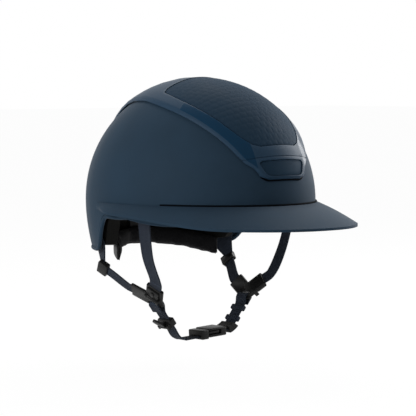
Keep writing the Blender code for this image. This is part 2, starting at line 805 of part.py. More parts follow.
def make_cradle():
    end = math.tau - CRADLE_START

    def place(along, index):
        azimuth = mix(CRADLE_START, end, along)
        sag = cradle_sag(along)
        upper = index in (1, 2)
        height = mix(CRADLE_TOP, CRADLE_END_TOP, sag) if upper else mix(CRADLE_LOW, CRADLE_END_LOW, sag)
        return on_cradle(azimuth, height, CRADLE_WALL if index > 1 else 0.0)

    origin = on_cradle(math.pi, CRADLE_TOP, 0.0)
    round_shade(part("cradle_band", loft(32, 4, place), BLACK_PLASTIC, 0.5, origin=origin))

    def inside(azimuth, height, depth):
        return on_cradle(azimuth, height, CRADLE_WALL + SEAT_GAP + depth)

    nape = pad_body(36, inside, CRADLE_START, end,
                    lambda along: mix(CRADLE_LOW, CRADLE_END_LOW, cradle_sag(along)) - NAPE_PAD_MARGIN,
                    lambda along: mix(CRADLE_TOP, CRADLE_END_TOP, cradle_sag(along)) + NAPE_PAD_MARGIN,
                    NAPE_PAD_CHANNELS)
    round_shade(part("nape_pad", nape, BLACK_FABRIC, 0.95, origin=origin))

    face = on_cradle(math.pi, 0.0, 0.0).y + SLOT_CLEARANCE
    track = box((-TRACK_WIDTH / 2.0, 0.0, TRACK_LOW), (TRACK_WIDTH / 2.0, 1.0, TRACK_TOP))
    for vert in track.verts:
        side = math.asin(vert.co.x / (DOME_HALF_WIDTH - LINER_INNER))
        back = dome(math.pi - side, latitude_at(vert.co.z), LINER_INNER + CURVED_GAP).y
        vert.co.y = back if vert.co.y > 0.5 else face
    part("cradle_track", track, BLACK_PLASTIC, 0.5)


# Webbing

def ribbon(points, widths, outward, steps):
    """Open strip along a smooth curve, lying flat across the outward direction."""
    nudge = 0.002

    def place(along, across):
        here = route(points, along)
        ahead = route(points, min(along + nudge, 1.0)) - route(points, max(along - nudge, 0.0))
        sideways = ahead.cross(outward(along)).normalized()
        return here + sideways * (across - 0.5) * through(widths, along)

    return surface(steps, 1, place)


def strap(name, points, widths, outward, steps, side=LEFT):
    made = part(name, ribbon(points, widths, outward, steps), NAVY_WEB, 0.85, side=side)
    thicken(made, STRAP_THICKNESS, 0.0)
    return made


def strap_slot(matrix, width, length):
    """Box for a strap that lies in the frame's local xy plane and runs along local x from 0."""
    half = width / 2.0 + SLOT_CLEARANCE
    tall = STRAP_THICKNESS / 2.0 + SLOT_CLEARANCE
    return box((0.0, -half, -tall), (length, half, tall), matrix)


FORWARD = Vector((0.0, -1.0, 0.0))
DOWN_PLATE = Vector((-math.sin(DIVIDER_LEAN), 0.0, -math.cos(DIVIDER_LEAN)))
OUT_PLATE = Vector((math.cos(DIVIDER_LEAN), 0.0, -math.sin(DIVIDER_LEAN)))
DIVIDER = Vector((DIVIDER_HALF_SPAN, -DIVIDER_AHEAD, -DIVIDER_DROP))
FRONT_ARM = FORWARD * math.sin(FRONT_ARM_ANGLE) - DOWN_PLATE * math.cos(FRONT_ARM_ANGLE)
REAR_ARM = -FORWARD * math.sin(REAR_ARM_ANGLE) - DOWN_PLATE * math.cos(REAR_ARM_ANGLE)
FRONT_ENTRY = DIVIDER + FRONT_ARM * FRONT_ARM_LENGTH
REAR_ENTRY = DIVIDER + REAR_ARM * REAR_ARM_LENGTH


def plate_point(down, out=0.0):
    """Point on the divider's centre line, down the plate and out of it."""
    return DIVIDER + DOWN_PLATE * down + OUT_PLATE * out


def anchor(name, azimuth, top, size, inset, side):
    """Flat plate upright against the inside of the shell."""
    width, height, thick = size
    centre = dome(azimuth, latitude_at(top - height / 2.0), SHELL_WALL + inset)
    out = outward_at(azimuth)
    upright = frame(centre, Vector((0.0, 0.0, 1.0)), out)
    body = box((-height / 2.0, -width / 2.0, -thick / 2.0), (height / 2.0, width / 2.0, thick / 2.0),
               upright)
    part(name, body, STEEL, 0.4, 1.0, side=side)


def make_front_strap(side):
    name = SIDE_NAMES[side]
    anchor(f"strap_anchor_front_{name}", FRONT_ANCHOR_AZIMUTH, FRONT_ANCHOR_TOP,
           FRONT_ANCHOR_SIZE, STRAP_INSET, side)
    start_height = FRONT_ANCHOR_TOP - FRONT_ANCHOR_SIZE[1] - SEAT_GAP
    inset = SHELL_WALL + STRAP_INSET
    start = dome(FRONT_ANCHOR_AZIMUTH, latitude_at(start_height), inset)
    edge = dome(FRONT_ANCHOR_AZIMUTH, latitude_at(-SHELL_FRONT_DROP - 2.0 * TRIM_RADIUS), inset)
    near = FRONT_ENTRY + FRONT_ARM * 0.4 * FRONT_ARM_LENGTH
    points = [start, edge, edge.lerp(near, 0.5) + OUT_PLATE * 2.0 * STRAP_THICKNESS, near,
              FRONT_ENTRY, FRONT_ENTRY - FRONT_ARM * (ARM_GRIP - SEAT_GAP)]
    flat = outward_at(FRONT_ANCHOR_AZIMUTH)
    strap(f"front_strap_{name}", points, [STRAP_WIDTH, STRAP_WIDTH],
          lambda along: flat.lerp(OUT_PLATE, ease(0.1, 0.6, along)), 25, side)


def make_rear_strap(side):
    name = SIDE_NAMES[side]
    anchor(f"strap_anchor_rear_{name}", REAR_ANCHOR_AZIMUTH, REAR_ANCHOR_TOP,
           REAR_ANCHOR_SIZE, REAR_ANCHOR_INSET, side)
    inset = SHELL_WALL + REAR_ANCHOR_INSET
    gusset_top = REAR_ANCHOR_TOP - REAR_ANCHOR_SIZE[1] - SEAT_GAP
    guide = dome(GUIDE_AZIMUTH, latitude_at(-SHELL_REAR_DROP), inset)
    guide.z -= GUIDE_HANG
    run = (REAR_ENTRY - guide).normalized()
    flat = OUT_PLATE.lerp(outward_at(GUIDE_AZIMUTH), 0.5)
    block = frame(guide, run, (flat - run * flat.dot(run)))
    half = Vector(GUIDE_SIZE) / 2.0
    body = part(f"nape_guide_{name}", box(-half, half, block, BODY_ROUNDING), BLACK_PLASTIC, 0.45,
                side=side)

    gusset_end = guide + Vector((0.0, 0.0, GUIDE_GRIP))
    edge_azimuth = mix(REAR_ANCHOR_AZIMUTH, GUIDE_AZIMUTH, 0.2)
    top = dome(REAR_ANCHOR_AZIMUTH, latitude_at(gusset_top), inset)
    points = [top, top - Vector((0.0, 0.0, GUSSET_LEAD)),
              dome(edge_azimuth, latitude_at(-SHELL_REAR_DROP), inset), gusset_end]
    widths = [GUSSET_TOP_WIDTH, GUSSET_TOP_WIDTH, GUSSET_EDGE_WIDTH, GUSSET_END_WIDTH]
    middle = 0.5 * (REAR_ANCHOR_AZIMUTH + GUIDE_AZIMUTH)
    strap(f"nape_gusset_{name}", points, widths, lambda along: outward_at(middle), 16, side)
    down = (points[-1] - points[-2]).normalized()
    across = outward_at(middle)
    socket = frame(gusset_end + down * SLOT_CLEARANCE, -down, across - down * across.dot(down))
    combine(body, strap_slot(socket, GUSSET_END_WIDTH + 2.0 * SLOT_CLEARANCE, GUIDE_SIZE[0]),
            "DIFFERENCE", side)

    start = guide + run * (GUIDE_SIZE[0] / 2.0 - GUIDE_GRIP)
    combine(body, strap_slot(frame(start - run * SLOT_CLEARANCE, run, block.col[2].to_3d()),
                             REAR_STRAP_WIDTH, GUIDE_SIZE[0]), "DIFFERENCE", side)
    leave = guide + run * GUIDE_SIZE[0]
    near = REAR_ENTRY + REAR_ARM * 0.2 * REAR_ARM_LENGTH
    points = [start, leave, near, REAR_ENTRY, REAR_ENTRY - REAR_ARM * (ARM_GRIP - SEAT_GAP)]
    first = block.col[2].to_3d()
    strap(f"rear_strap_{name}", points, [REAR_STRAP_WIDTH, REAR_STRAP_WIDTH],
          lambda along: first.lerp(OUT_PLATE, ease(0.3, 0.7, along)), 20, side)


# Strap divider

def arm_box(arm, width, length, half):
    across = width / 2.0 + ARM_SIDE_WALL
    return box((0.0, -across, -half), (length, across, half),
               frame(DIVIDER, arm, OUT_PLATE), BODY_ROUNDING)


def hinge_lugs(made, hinge, span, seat, side):
    """Two lugs that hold the ends of a pin along the hinge frame's local z."""
    outer = span / 2.0 + HINGE_LUG_WIDTH
    for end in (-1.0, 1.0):
        low = min(end * span / 2.0, end * outer)
        high = max(end * span / 2.0, end * outer)
        reach = HINGE_BARREL_RADIUS
        combine(made, box((-reach, -seat, low), (reach, reach, high), hinge), "UNION", side)
    hole = HINGE_PIN_RADIUS + SEAT_GAP
    bore = cylinder(hole, span + HINGE_LUG_WIDTH + 2.0 * SEAT_GAP, hinge)
    combine(made, bore, "DIFFERENCE", side)


def make_divider(side):
    name = SIDE_NAMES[side]
    half = DIVIDER_THICKNESS / 2.0
    body = part(f"divider_{name}", arm_box(FRONT_ARM, STRAP_WIDTH, FRONT_ARM_LENGTH, half),
                BLACK_PLASTIC, 0.45, side=side)
    rear_arm = arm_box(REAR_ARM, REAR_STRAP_WIDTH, REAR_ARM_LENGTH, half - ARM_STEP)
    combine(body, rear_arm, "UNION", side)
    plate = frame(DIVIDER, DOWN_PLATE, OUT_PLATE)
    wide = STRAP_WIDTH / 2.0 + ARM_SIDE_WALL + SLOT_CLEARANCE
    base_end = WINDOW_HEIGHT + BAR_HEIGHT
    base_half = half - 2.0 * ARM_STEP
    combine(body, box((BASE_TOP, -wide, -base_half), (base_end, wide, base_half), plate,
                      BODY_ROUNDING), "UNION", side)
    window = STRAP_WIDTH / 2.0 + SLOT_CLEARANCE
    combine(body, box((0.0, -window, -DIVIDER_THICKNESS), (WINDOW_HEIGHT, window, DIVIDER_THICKNESS),
                      plate), "DIFFERENCE", side)
    for entry, arm, width in ((FRONT_ENTRY, FRONT_ARM, STRAP_WIDTH),
                              (REAR_ENTRY, REAR_ARM, REAR_STRAP_WIDTH)):
        slot = frame(entry - arm * ARM_GRIP, arm, OUT_PLATE)
        combine(body, strap_slot(slot, width, 2.0 * ARM_GRIP), "DIFFERENCE", side)

    seat = half + SEAT_GAP + HINGE_BARREL_RADIUS
    pivot = DIVIDER + FRONT_ARM * FLAP_PIVOT + OUT_PLATE * seat
    hinge = frame(pivot, FRONT_ARM, FRONT_ARM.cross(OUT_PLATE))
    span = HINGE_BARREL_LENGTH + 2.0 * PIN_CLEARANCE
    hinge_lugs(body, hinge, span, seat, side)
    pin = cylinder(HINGE_PIN_RADIUS, span + HINGE_LUG_WIDTH, hinge, segments=14)
    part(f"divider_pin_{name}", pin, STEEL, 0.3, 1.0, side=side)

    barrel = cylinder(HINGE_BARREL_RADIUS, HINGE_BARREL_LENGTH, hinge)
    flap = part(f"divider_flap_{name}", barrel, BLACK_PLASTIC, 0.45, side=side, origin=pivot)
    leaf = frame(pivot, FRONT_ARM, OUT_PLATE)
    floor = -HINGE_BARREL_RADIUS
    leaf_half = FLAP_WIDTH / 2.0
    neck = HINGE_BARREL_LENGTH / 2.0 - SEAT_GAP
    overlap = HINGE_BARREL_RADIUS
    combine(flap, box((0.0, -neck, floor), (2.0 * overlap, neck, floor + FLAP_THICKNESS), leaf),
            "UNION", side)
    combine(flap, box((1.4 * overlap, -leaf_half, floor),
                      (FLAP_LENGTH, leaf_half, floor + FLAP_THICKNESS), leaf), "UNION", side)
    boss_width, boss_height, boss_rise = FLAP_BOSS
    boss_centre = pivot + FRONT_ARM * (FLAP_LENGTH + overlap) / 2.0
    boss_centre += OUT_PLATE * (floor + FLAP_THICKNESS)
    boss = cylinder(boss_height / 2.0, 2.0 * boss_rise,
                    frame(boss_centre, FRONT_ARM, OUT_PLATE), boss_width / boss_height)
    combine(flap, boss, "UNION", side)
    combine(flap, cylinder(HINGE_PIN_RADIUS + PIN_CLEARANCE, 2.0 * HINGE_BARREL_LENGTH, hinge),
            "DIFFERENCE", side)


# Chin straps

BUCKLE_AXIS = Vector((math.cos(BUCKLE_TILT), 0.0, math.sin(BUCKLE_TILT)))
BUCKLE_UP = Vector((-math.sin(BUCKLE_TILT), 0.0, math.cos(BUCKLE_TILT)))
BUCKLE = Vector((BUCKLE_SIDE, -DIVIDER_AHEAD, -BUCKLE_DROP))
BUCKLE_FRAME = frame(BUCKLE, BUCKLE_AXIS, BUCKLE_UP)
SOCKET_STRAP_LEVEL = 0.5 * (SOCKET_LOW + SOCKET_HIGH)


def buckle_point(along, up=0.0):
    return BUCKLE + BUCKLE_AXIS * along + BUCKLE_UP * up


def bar_loop():
    """Strap's turn through the window and over the bar, from its tail outside to the straight."""
    level = DIVIDER_THICKNESS / 2.0 + SLOT_CLEARANCE + STRAP_THICKNESS / 2.0
    top = WINDOW_HEIGHT - SLOT_CLEARANCE - STRAP_THICKNESS / 2.0
    bar_end = WINDOW_HEIGHT + BAR_HEIGHT
    return [plate_point(CHIN_LOOP_TAIL, level), plate_point(bar_end, level),
            plate_point(WINDOW_HEIGHT, level), plate_point(top, 0.6 * level), plate_point(top, -0.6 * level),
            plate_point(WINDOW_HEIGHT, -level), plate_point(bar_end, -level)]


def reflected(points):
    return [Vector((-point.x, point.y, point.z)) for point in points]


def chin_outward(points):
    """Outward direction along a chin strap, square to its run and to the front-back direction."""
    nudge = 0.004

    def outward(along):
        ahead = route(points, min(along + nudge, 1.0)) - route(points, max(along - nudge, 0.0))
        return ahead.cross(FORWARD).normalized()

    return outward


def chin_strap(name, points, steps):
    return strap(name, points, [STRAP_WIDTH, STRAP_WIDTH], chin_outward(points), steps)


def straight_run():
    return [plate_point(mix(CHIN_STRAIGHT_START, CHIN_STRAIGHT_END, share)) for share in (0.0, 0.5, 1.0)]


def meeting(start, run, level):
    """Point on a line at which it reaches the buckle's strap line at a level."""
    offset = buckle_point(0.0, level) - start
    return start + run * (offset.dot(BUCKLE_UP) / run.dot(BUCKLE_UP))


def make_chin_straps():
    right = reflected(bar_loop() + straight_run())
    run = (right[-1] - right[-2]).normalized()
    level = PLUG_STRAP_LEVEL
    corner = meeting(right[-1], run, level)
    right += [corner - run * CHIN_BEND, corner + BUCKLE_AXIS * CHIN_BEND,
              corner + BUCKLE_AXIS * 1.5 * CHIN_BEND, buckle_point(-SLOT_CLEARANCE, level)]
    chin_strap("chin_strap_right", right, 56)

    left = bar_loop() + straight_run()
    run = (left[-1] - left[-2]).normalized()
    level = SOCKET_STRAP_LEVEL
    corner = meeting(left[-1], run, level)
    left += [corner - run * CHIN_BEND, corner - BUCKLE_AXIS * CHIN_BEND,
             buckle_point(SOCKET_LENGTH, level),
             buckle_point(CAVITY_DEPTH + 2.0 * SLOT_CLEARANCE, level)]
    chin_strap("chin_strap_left", left, 52)
    return left


def band_round_strap(name, centre, length, wall, side, colour, roughness):
    """Block round the straight of a chin strap, with the strap's slot through it."""
    high = STRAP_WIDTH / 2.0 + SLOT_CLEARANCE + wall
    tall = STRAP_THICKNESS / 2.0 + SLOT_CLEARANCE + wall
    place = frame(plate_point(centre), DOWN_PLATE, OUT_PLATE)
    body = box((-length / 2.0, -high, -tall), (length / 2.0, high, tall), place, BODY_ROUNDING)
    made = part(name, body, colour, roughness, side=side, origin=plate_point(centre))
    slot = frame(plate_point(centre - length), DOWN_PLATE, OUT_PLATE)
    combine(made, strap_slot(slot, STRAP_WIDTH, 2.0 * length), "DIFFERENCE", side)
    return made


def make_keepers():
    for name, centre in (("upper", UPPER_KEEPER), ("lower", LOWER_KEEPER)):
        band_round_strap(f"strap_keeper_{name}", centre, KEEPER_LENGTH, KEEPER_WALL, LEFT, NAVY_WEB, 0.8)


def make_sleeve(points):
    """Rubber cover round the bend of the left chin strap, next to the socket."""
    spans = len(points) - 1
    outward = chin_outward(points)
    start = (spans - 4.0 + SLEEVE_MARGIN / (points[-5] - points[-4]).length) / spans
    end = (spans - 2.0) / spans
    half = STRAP_WIDTH / 2.0 + SLOT_CLEARANCE
    tall = STRAP_THICKNESS / 2.0 + CURVED_GAP
    steps = 15
    corners = ((1, 1), (1, -1), (-1, -1), (-1, 1))

    def place(around, index):
        outside = index <= steps
        share = mix(start, end, index / steps) if outside else mix(end, start, (index - steps - 1) / steps)
        grow = SLEEVE_WALL if outside else 0.0
        wide, thick = corners[round(around * len(corners)) % len(corners)]
        return (route(points, share) + FORWARD * wide * (half + grow)
                + outward(share) * thick * (tall + grow))

    part("strap_sleeve", loft(len(corners), 2 * steps + 2, place), BLACK_PLASTIC, 0.6)


def make_slider():
    slider = band_round_strap("chin_slider", SLIDER_CENTRE, SLIDER_LENGTH, SLIDER_WALL, RIGHT,
                              BLACK_PLASTIC, 0.45)
    tall = STRAP_THICKNESS / 2.0 + SLOT_CLEARANCE + SLIDER_WALL
    seat = tall + SEAT_GAP + HINGE_BARREL_RADIUS
    pivot = plate_point(SLIDER_CENTRE + SLIDER_LENGTH / 2.0 - HINGE_BARREL_RADIUS, seat)
    span = HINGE_BARREL_LENGTH + 2.0 * PIN_CLEARANCE
    hinge = frame(pivot, DOWN_PLATE, FORWARD)
    hinge_lugs(slider, hinge, span, tall, RIGHT)
    pin = cylinder(HINGE_PIN_RADIUS, span + HINGE_LUG_WIDTH, hinge, segments=14)
    part("chin_slider_pin", pin, STEEL, 0.3, 1.0, side=RIGHT)

    reach = -DOWN_PLATE * math.cos(LEVER_LIFT) + OUT_PLATE * math.sin(LEVER_LIFT)
    rise = reach.cross(FORWARD)
    barrel = cylinder(HINGE_BARREL_RADIUS, HINGE_BARREL_LENGTH, hinge)
    lever = part("chin_slider_lever", barrel, BLACK_PLASTIC, 0.45, side=RIGHT, origin=pivot)
    leaf = cylinder(LEVER_WIDTH / 2.0, LEVER_THICKNESS,
                    frame(pivot + reach * (LEVER_LENGTH / 2.0 + HINGE_PIN_RADIUS), reach, rise),
                    LEVER_LENGTH / LEVER_WIDTH, 28)
    combine(lever, leaf, "UNION", RIGHT)
    combine(lever, cylinder(HINGE_PIN_RADIUS + PIN_CLEARANCE, 2.0 * HINGE_BARREL_LENGTH, hinge),
            "DIFFERENCE", RIGHT)


# Buckle

def make_buckle():
    half = BUCKLE_WIDTH / 2.0
    socket = part("buckle_socket", box((0.0, -half, SOCKET_LOW), (SOCKET_LENGTH, half, SOCKET_HIGH),
                                       BUCKLE_FRAME, BODY_ROUNDING), BLACK_PLASTIC, 0.45)
    combine(socket, box((-half, -2.0 * half, INNER_LOW - BUCKLE_PLAY),
                        (CAVITY_DEPTH, 2.0 * half, INNER_HIGH + BUCKLE_PLAY), BUCKLE_FRAME), "DIFFERENCE")
    slot = frame(buckle_point(CAVITY_DEPTH + SLOT_CLEARANCE, SOCKET_STRAP_LEVEL), BUCKLE_AXIS, BUCKLE_UP)
    combine(socket, strap_slot(slot, STRAP_WIDTH, SOCKET_LENGTH), "DIFFERENCE")

    plug = part("buckle_plug", box((-PLUG_LENGTH, -half, PLUG_LOW), (-BUCKLE_PLAY, half, PLUG_HIGH),
                                   BUCKLE_FRAME, BODY_ROUNDING), BLACK_PLASTIC, 0.45,
                origin=buckle_point(0.0))
    tongue = TONGUE_WIDTH / 2.0
    combine(plug, box((-PLUG_LENGTH / 2.0, -tongue, INNER_LOW), (TONGUE_LENGTH, tongue, INNER_HIGH),
                      BUCKLE_FRAME), "UNION")
    slot = frame(buckle_point(-2.0 * PLUG_LENGTH, PLUG_STRAP_LEVEL), BUCKLE_AXIS, BUCKLE_UP)
    combine(plug, strap_slot(slot, STRAP_WIDTH, 4.0 * PLUG_LENGTH), "DIFFERENCE")

    for name, side in (("front", -1.0), ("rear", 1.0)):
        centre = side * (half - PRONG_WIDTH / 2.0 - BODY_ROUNDING)
        low = (0.0, centre - PRONG_WIDTH / 2.0, INNER_LOW)
        high = (PRONG_LENGTH, centre + PRONG_WIDTH / 2.0, INNER_HIGH)
        root = BUCKLE_FRAME @ Vector((0.0, centre, 0.5 * (INNER_LOW + INNER_HIGH)))
        part(f"buckle_prong_{name}", box(low, high, BUCKLE_FRAME, BODY_ROUNDING), BLACK_PLASTIC, 0.45,
             origin=root)


make_shell()
make_trim()
make_peak()
make_band()
make_crown_plates()
make_liner()
make_pads()
make_cradle()
for chosen in SIDE_NAMES:
    make_front_strap(chosen)
    make_rear_strap(chosen)
    make_divider(chosen)
left_route = make_chin_straps()
make_keepers()
make_sleeve(left_route)
make_slider()
make_buckle()
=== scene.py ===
# %% [markdown]
# # Dressing a riding helmet
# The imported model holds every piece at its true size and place, as a plain faceted solid. This lesson
# gives those pieces their finished surfaces. Hard parts are copied and smoothed, webbing is rewoven
# along the strap it stands for, pads are stuffed by a cloth simulation, and every finish is made of
# shader nodes. All lengths are metres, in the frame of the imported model.

# %% Load the frame
import json
import math

import bpy
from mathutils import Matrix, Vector

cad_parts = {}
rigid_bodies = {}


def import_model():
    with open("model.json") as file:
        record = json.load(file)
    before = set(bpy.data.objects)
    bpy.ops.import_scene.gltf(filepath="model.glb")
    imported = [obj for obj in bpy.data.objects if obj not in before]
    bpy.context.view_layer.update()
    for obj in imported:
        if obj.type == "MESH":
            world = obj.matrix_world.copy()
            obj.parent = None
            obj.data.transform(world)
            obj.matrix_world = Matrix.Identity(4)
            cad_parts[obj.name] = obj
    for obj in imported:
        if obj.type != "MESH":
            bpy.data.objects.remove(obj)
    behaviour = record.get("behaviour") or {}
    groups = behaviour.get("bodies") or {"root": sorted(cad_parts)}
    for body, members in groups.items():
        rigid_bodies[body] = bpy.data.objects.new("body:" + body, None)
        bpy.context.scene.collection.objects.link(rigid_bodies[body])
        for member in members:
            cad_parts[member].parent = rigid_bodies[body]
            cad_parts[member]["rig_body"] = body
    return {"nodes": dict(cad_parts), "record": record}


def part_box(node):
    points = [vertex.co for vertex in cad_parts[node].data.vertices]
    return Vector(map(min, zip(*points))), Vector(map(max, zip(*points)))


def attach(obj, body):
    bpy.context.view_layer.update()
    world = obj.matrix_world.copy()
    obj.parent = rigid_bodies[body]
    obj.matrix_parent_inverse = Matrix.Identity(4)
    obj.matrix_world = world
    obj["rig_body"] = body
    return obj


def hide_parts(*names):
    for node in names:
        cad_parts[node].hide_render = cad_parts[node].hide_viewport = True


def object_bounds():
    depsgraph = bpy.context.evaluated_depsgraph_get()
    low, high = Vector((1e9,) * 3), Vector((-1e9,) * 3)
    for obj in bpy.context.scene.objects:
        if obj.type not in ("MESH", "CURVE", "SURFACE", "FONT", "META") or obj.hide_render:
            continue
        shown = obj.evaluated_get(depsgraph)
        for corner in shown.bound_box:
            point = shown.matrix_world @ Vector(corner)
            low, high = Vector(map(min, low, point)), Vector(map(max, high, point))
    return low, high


MM = 0.001
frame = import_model()
cad_low, cad_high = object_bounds()
nodes = frame["nodes"]
slots = {entry["node"]: entry["material_slot"] for entry in frame["record"]["subparts"]}
print(len(nodes), "nodes, box in mm:", [round(side / MM, 1) for side in cad_high - cad_low])

# %% [markdown]
# ## The camera
# The photograph was taken from the wearer's right, a little ahead and hardly above the peak. Two
# facts fix a camera: where it stands, and how many pixels a metre takes up. A long lens from two
# metres away keeps the perspective as flat as the photograph's, and a small shift puts the helmet
# at the same place in the frame, which turning the camera would not do without changing the view.

# %% Place the camera
PHOTO_WIDTH = 416
VIEW_AZIMUTH = math.radians(-41.05)
VIEW_ELEVATION = math.radians(3.3)
VIEW_DISTANCE = 2.2
PIXELS_PER_METRE = 951.66
ORIGIN_COLUMN = 199.23
ORIGIN_ROW = 198.78
SENSOR_WIDTH = 36.0


def direction(azimuth, elevation):
    """Unit vector from the helmet towards a place round it; azimuth 0 is straight ahead of it."""
    level = math.cos(elevation)
    return Vector((math.sin(azimuth) * level, -math.cos(azimuth) * level, math.sin(elevation)))


towards_camera = direction(VIEW_AZIMUTH, VIEW_ELEVATION)
bpy.ops.object.camera_add(location=towards_camera * VIEW_DISTANCE,
                          rotation=towards_camera.to_track_quat("Z", "Y").to_euler())
camera = bpy.context.object
camera.data.sensor_width = SENSOR_WIDTH
camera.data.lens = SENSOR_WIDTH * PIXELS_PER_METRE * VIEW_DISTANCE / PHOTO_WIDTH
camera.data.shift_x = 0.5 - ORIGIN_COLUMN / PHOTO_WIDTH
camera.data.shift_y = ORIGIN_ROW / PHOTO_WIDTH - 0.5
bpy.context.scene.camera = camera
bpy.context.scene.view_settings.view_transform = "Standard"
print("lens in mm:", round(camera.data.lens, 1))

# %% [markdown]
# ## Light, floor and background
# A catalogue picture of a dark matt object is lit by large soft boxes at its sides, so that its
# outline shines and its middle stays deep. Three area lamps do that here. The background is white
# only for rays that come straight from the camera or off a shiny surface. If the white were made by
# stronger lamps instead, every colour on the helmet would wash out. The floor is clear from below, so
# that the inside of the helmet can be looked at too.

# %% Light the set
WHITE = (1.0, 1.0, 1.0, 1.0)
AMBIENT = 0.3
FLOOR_DROP = 30.0 * MM
FLOOR_SIZE = 30.0
FLOOR_WHITE = (0.9, 0.9, 0.9, 1.0)
FLOOR_LIFT = 0.97


def add_node(tree, kind, wired=None, **settings):
    """Add a node, set its properties, and give its inputs a value or a wire from another node."""
    made = tree.nodes.new(kind)
    for name, value in settings.items():
        setattr(made, name, value)
    for name, value in (wired or {}).items():
        if isinstance(value, bpy.types.NodeSocket):
            tree.links.new(value, made.inputs[name])
        else:
            made.inputs[name].default_value = value
    return made


def maths(tree, operation, *values):
    """The result of a Math node on numbers or sockets."""
    return add_node(tree, "ShaderNodeMath", dict(enumerate(values)), operation=operation).outputs[0]


def seen_directly(tree):
    """One for camera, glossy and transmission rays, and nought for rays that carry light."""
    rays = add_node(tree, "ShaderNodeLightPath")
    shiny = maths(tree, "MAXIMUM", rays.outputs["Is Glossy Ray"], rays.outputs["Is Transmission Ray"])
    return maths(tree, "MAXIMUM", rays.outputs["Is Camera Ray"], shiny)


def soft_box(name, azimuth, elevation, distance, size, watts):
    """A round area lamp that faces the helmet, with its angles in degrees."""
    towards = direction(math.radians(azimuth), math.radians(elevation))
    bpy.ops.object.light_add(type="AREA", location=towards * distance,
                             rotation=towards.to_track_quat("Z", "Y").to_euler())
    lamp = bpy.context.object
    lamp.name = name
    lamp.data.shape = "DISK"
    lamp.data.size = size
    lamp.data.energy = watts


soft_box("box_left", azimuth=-96.0, elevation=18.0, distance=1.6, size=1.1, watts=15.0)
soft_box("box_right", azimuth=82.0, elevation=24.0, distance=1.6, size=1.1, watts=26.0)
soft_box("box_behind", azimuth=138.0, elevation=62.0, distance=1.5, size=1.2, watts=13.0)

world = bpy.data.worlds.new("studio")
world.use_nodes = True
bpy.context.scene.world = world
tree = world.node_tree
tree.nodes.clear()
room = add_node(tree, "ShaderNodeBackground", {"Color": WHITE, "Strength": AMBIENT})
white = add_node(tree, "ShaderNodeBackground", {"Color": WHITE, "Strength": 1.0})
both = add_node(tree, "ShaderNodeMixShader",
                {0: seen_directly(tree), 1: room.outputs[0], 2: white.outputs[0]})
add_node(tree, "ShaderNodeOutputWorld", {"Surface": both.outputs[0]})

bpy.ops.mesh.primitive_plane_add(size=FLOOR_SIZE, location=(0.0, 0.0, cad_low.z - FLOOR_DROP))
floor = bpy.context.object
floor.name = "studio_floor"
paint = bpy.data.materials.new("floor_paint")
paint.use_nodes = True
tree = paint.node_tree
tree.nodes.clear()
matt = add_node(tree, "ShaderNodeBsdfDiffuse", {"Color": FLOOR_WHITE})
glow = add_node(tree, "ShaderNodeEmission", {"Color": WHITE, "Strength": 1.0})
lift_share = maths(tree, "MULTIPLY", seen_directly(tree), FLOOR_LIFT)
lift = add_node(tree, "ShaderNodeMixShader", {0: lift_share, 1: matt.outputs[0], 2: glow.outputs[0]})
clear = add_node(tree, "ShaderNodeBsdfTransparent")
from_below = add_node(tree, "ShaderNodeNewGeometry").outputs["Backfacing"]
one_sided = add_node(tree, "ShaderNodeMixShader",
                     {0: from_below, 1: lift.outputs[0], 2: clear.outputs[0]})
add_node(tree, "ShaderNodeOutputMaterial", {"Surface": one_sided.outputs[0]})
floor.data.materials.append(paint)

# %% [markdown]
# ## Effects that several finishes share
# Grain, worn edges, a weave and a slow drift of tone turn up on many pieces, so each is one node
# group with its own inputs. A group hands out only heights and masks. The shader itself stays in the
# material, where an exporter can read it.

# %% Build the shared effects
NUMBER = "NodeSocketFloat"
DRIFT_SCALE = 26.0
DRIFT_RANGE = (0.3, 0.7)
EDGE_START = 0.53
PATCH_SCALE = 220.0
PATCH_RANGE = (0.4, 0.65)
YARNS_PER_SLANT = 3.0
WARP_ROUNDING = 0.5
DYE_SCALE = 120.0
FLUFF_SCALE = 90.0


def effect(name, inputs, outputs):
    """An empty node group with its number sockets, and its input and output nodes."""
    made = bpy.data.node_groups.new(name, "ShaderNodeTree")
    for label, value in inputs.items():
        made.interface.new_socket(label, in_out="INPUT", socket_type=NUMBER).default_value = value
    for label in outputs:
        made.interface.new_socket(label, in_out="OUTPUT", socket_type=NUMBER)
    return made, made.nodes.new("NodeGroupInput"), made.nodes.new("NodeGroupOutput")


def own_place(tree):
    return add_node(tree, "ShaderNodeTexCoord").outputs["Object"]


def stretch_range(tree, value, low, high):
    """A value spread so that low becomes nought and high becomes one."""
    spread = add_node(tree, "ShaderNodeMapRange", {"Value": value, "From Min": low, "From Max": high})
    return spread.outputs[0]


grain, start, end = effect("moulded grain", {"Fineness": 1500.0}, ["Height", "Tone"])
place = own_place(grain)
fine = add_node(grain, "ShaderNodeTexNoise",
                {"Vector": place, "Scale": start.outputs["Fineness"], "Detail": 2.0})
drift = add_node(grain, "ShaderNodeTexNoise", {"Vector": place, "Scale": DRIFT_SCALE, "Detail": 3.0})
grain.links.new(fine.outputs["Fac"], end.inputs["Height"])
grain.links.new(stretch_range(grain, drift.outputs["Fac"], *DRIFT_RANGE), end.inputs["Tone"])

wear, start, end = effect("rubbed edges", {"Sharpness": 0.6}, ["Mask"])
shape = add_node(wear, "ShaderNodeNewGeometry")
edges = stretch_range(wear, shape.outputs["Pointiness"], EDGE_START, start.outputs["Sharpness"])
patches = add_node(wear, "ShaderNodeTexNoise",
                   {"Vector": own_place(wear), "Scale": PATCH_SCALE, "Detail": 4.0})
broken = stretch_range(wear, patches.outputs["Fac"], *PATCH_RANGE)
wear.links.new(maths(wear, "MULTIPLY", edges, broken), end.inputs["Mask"])

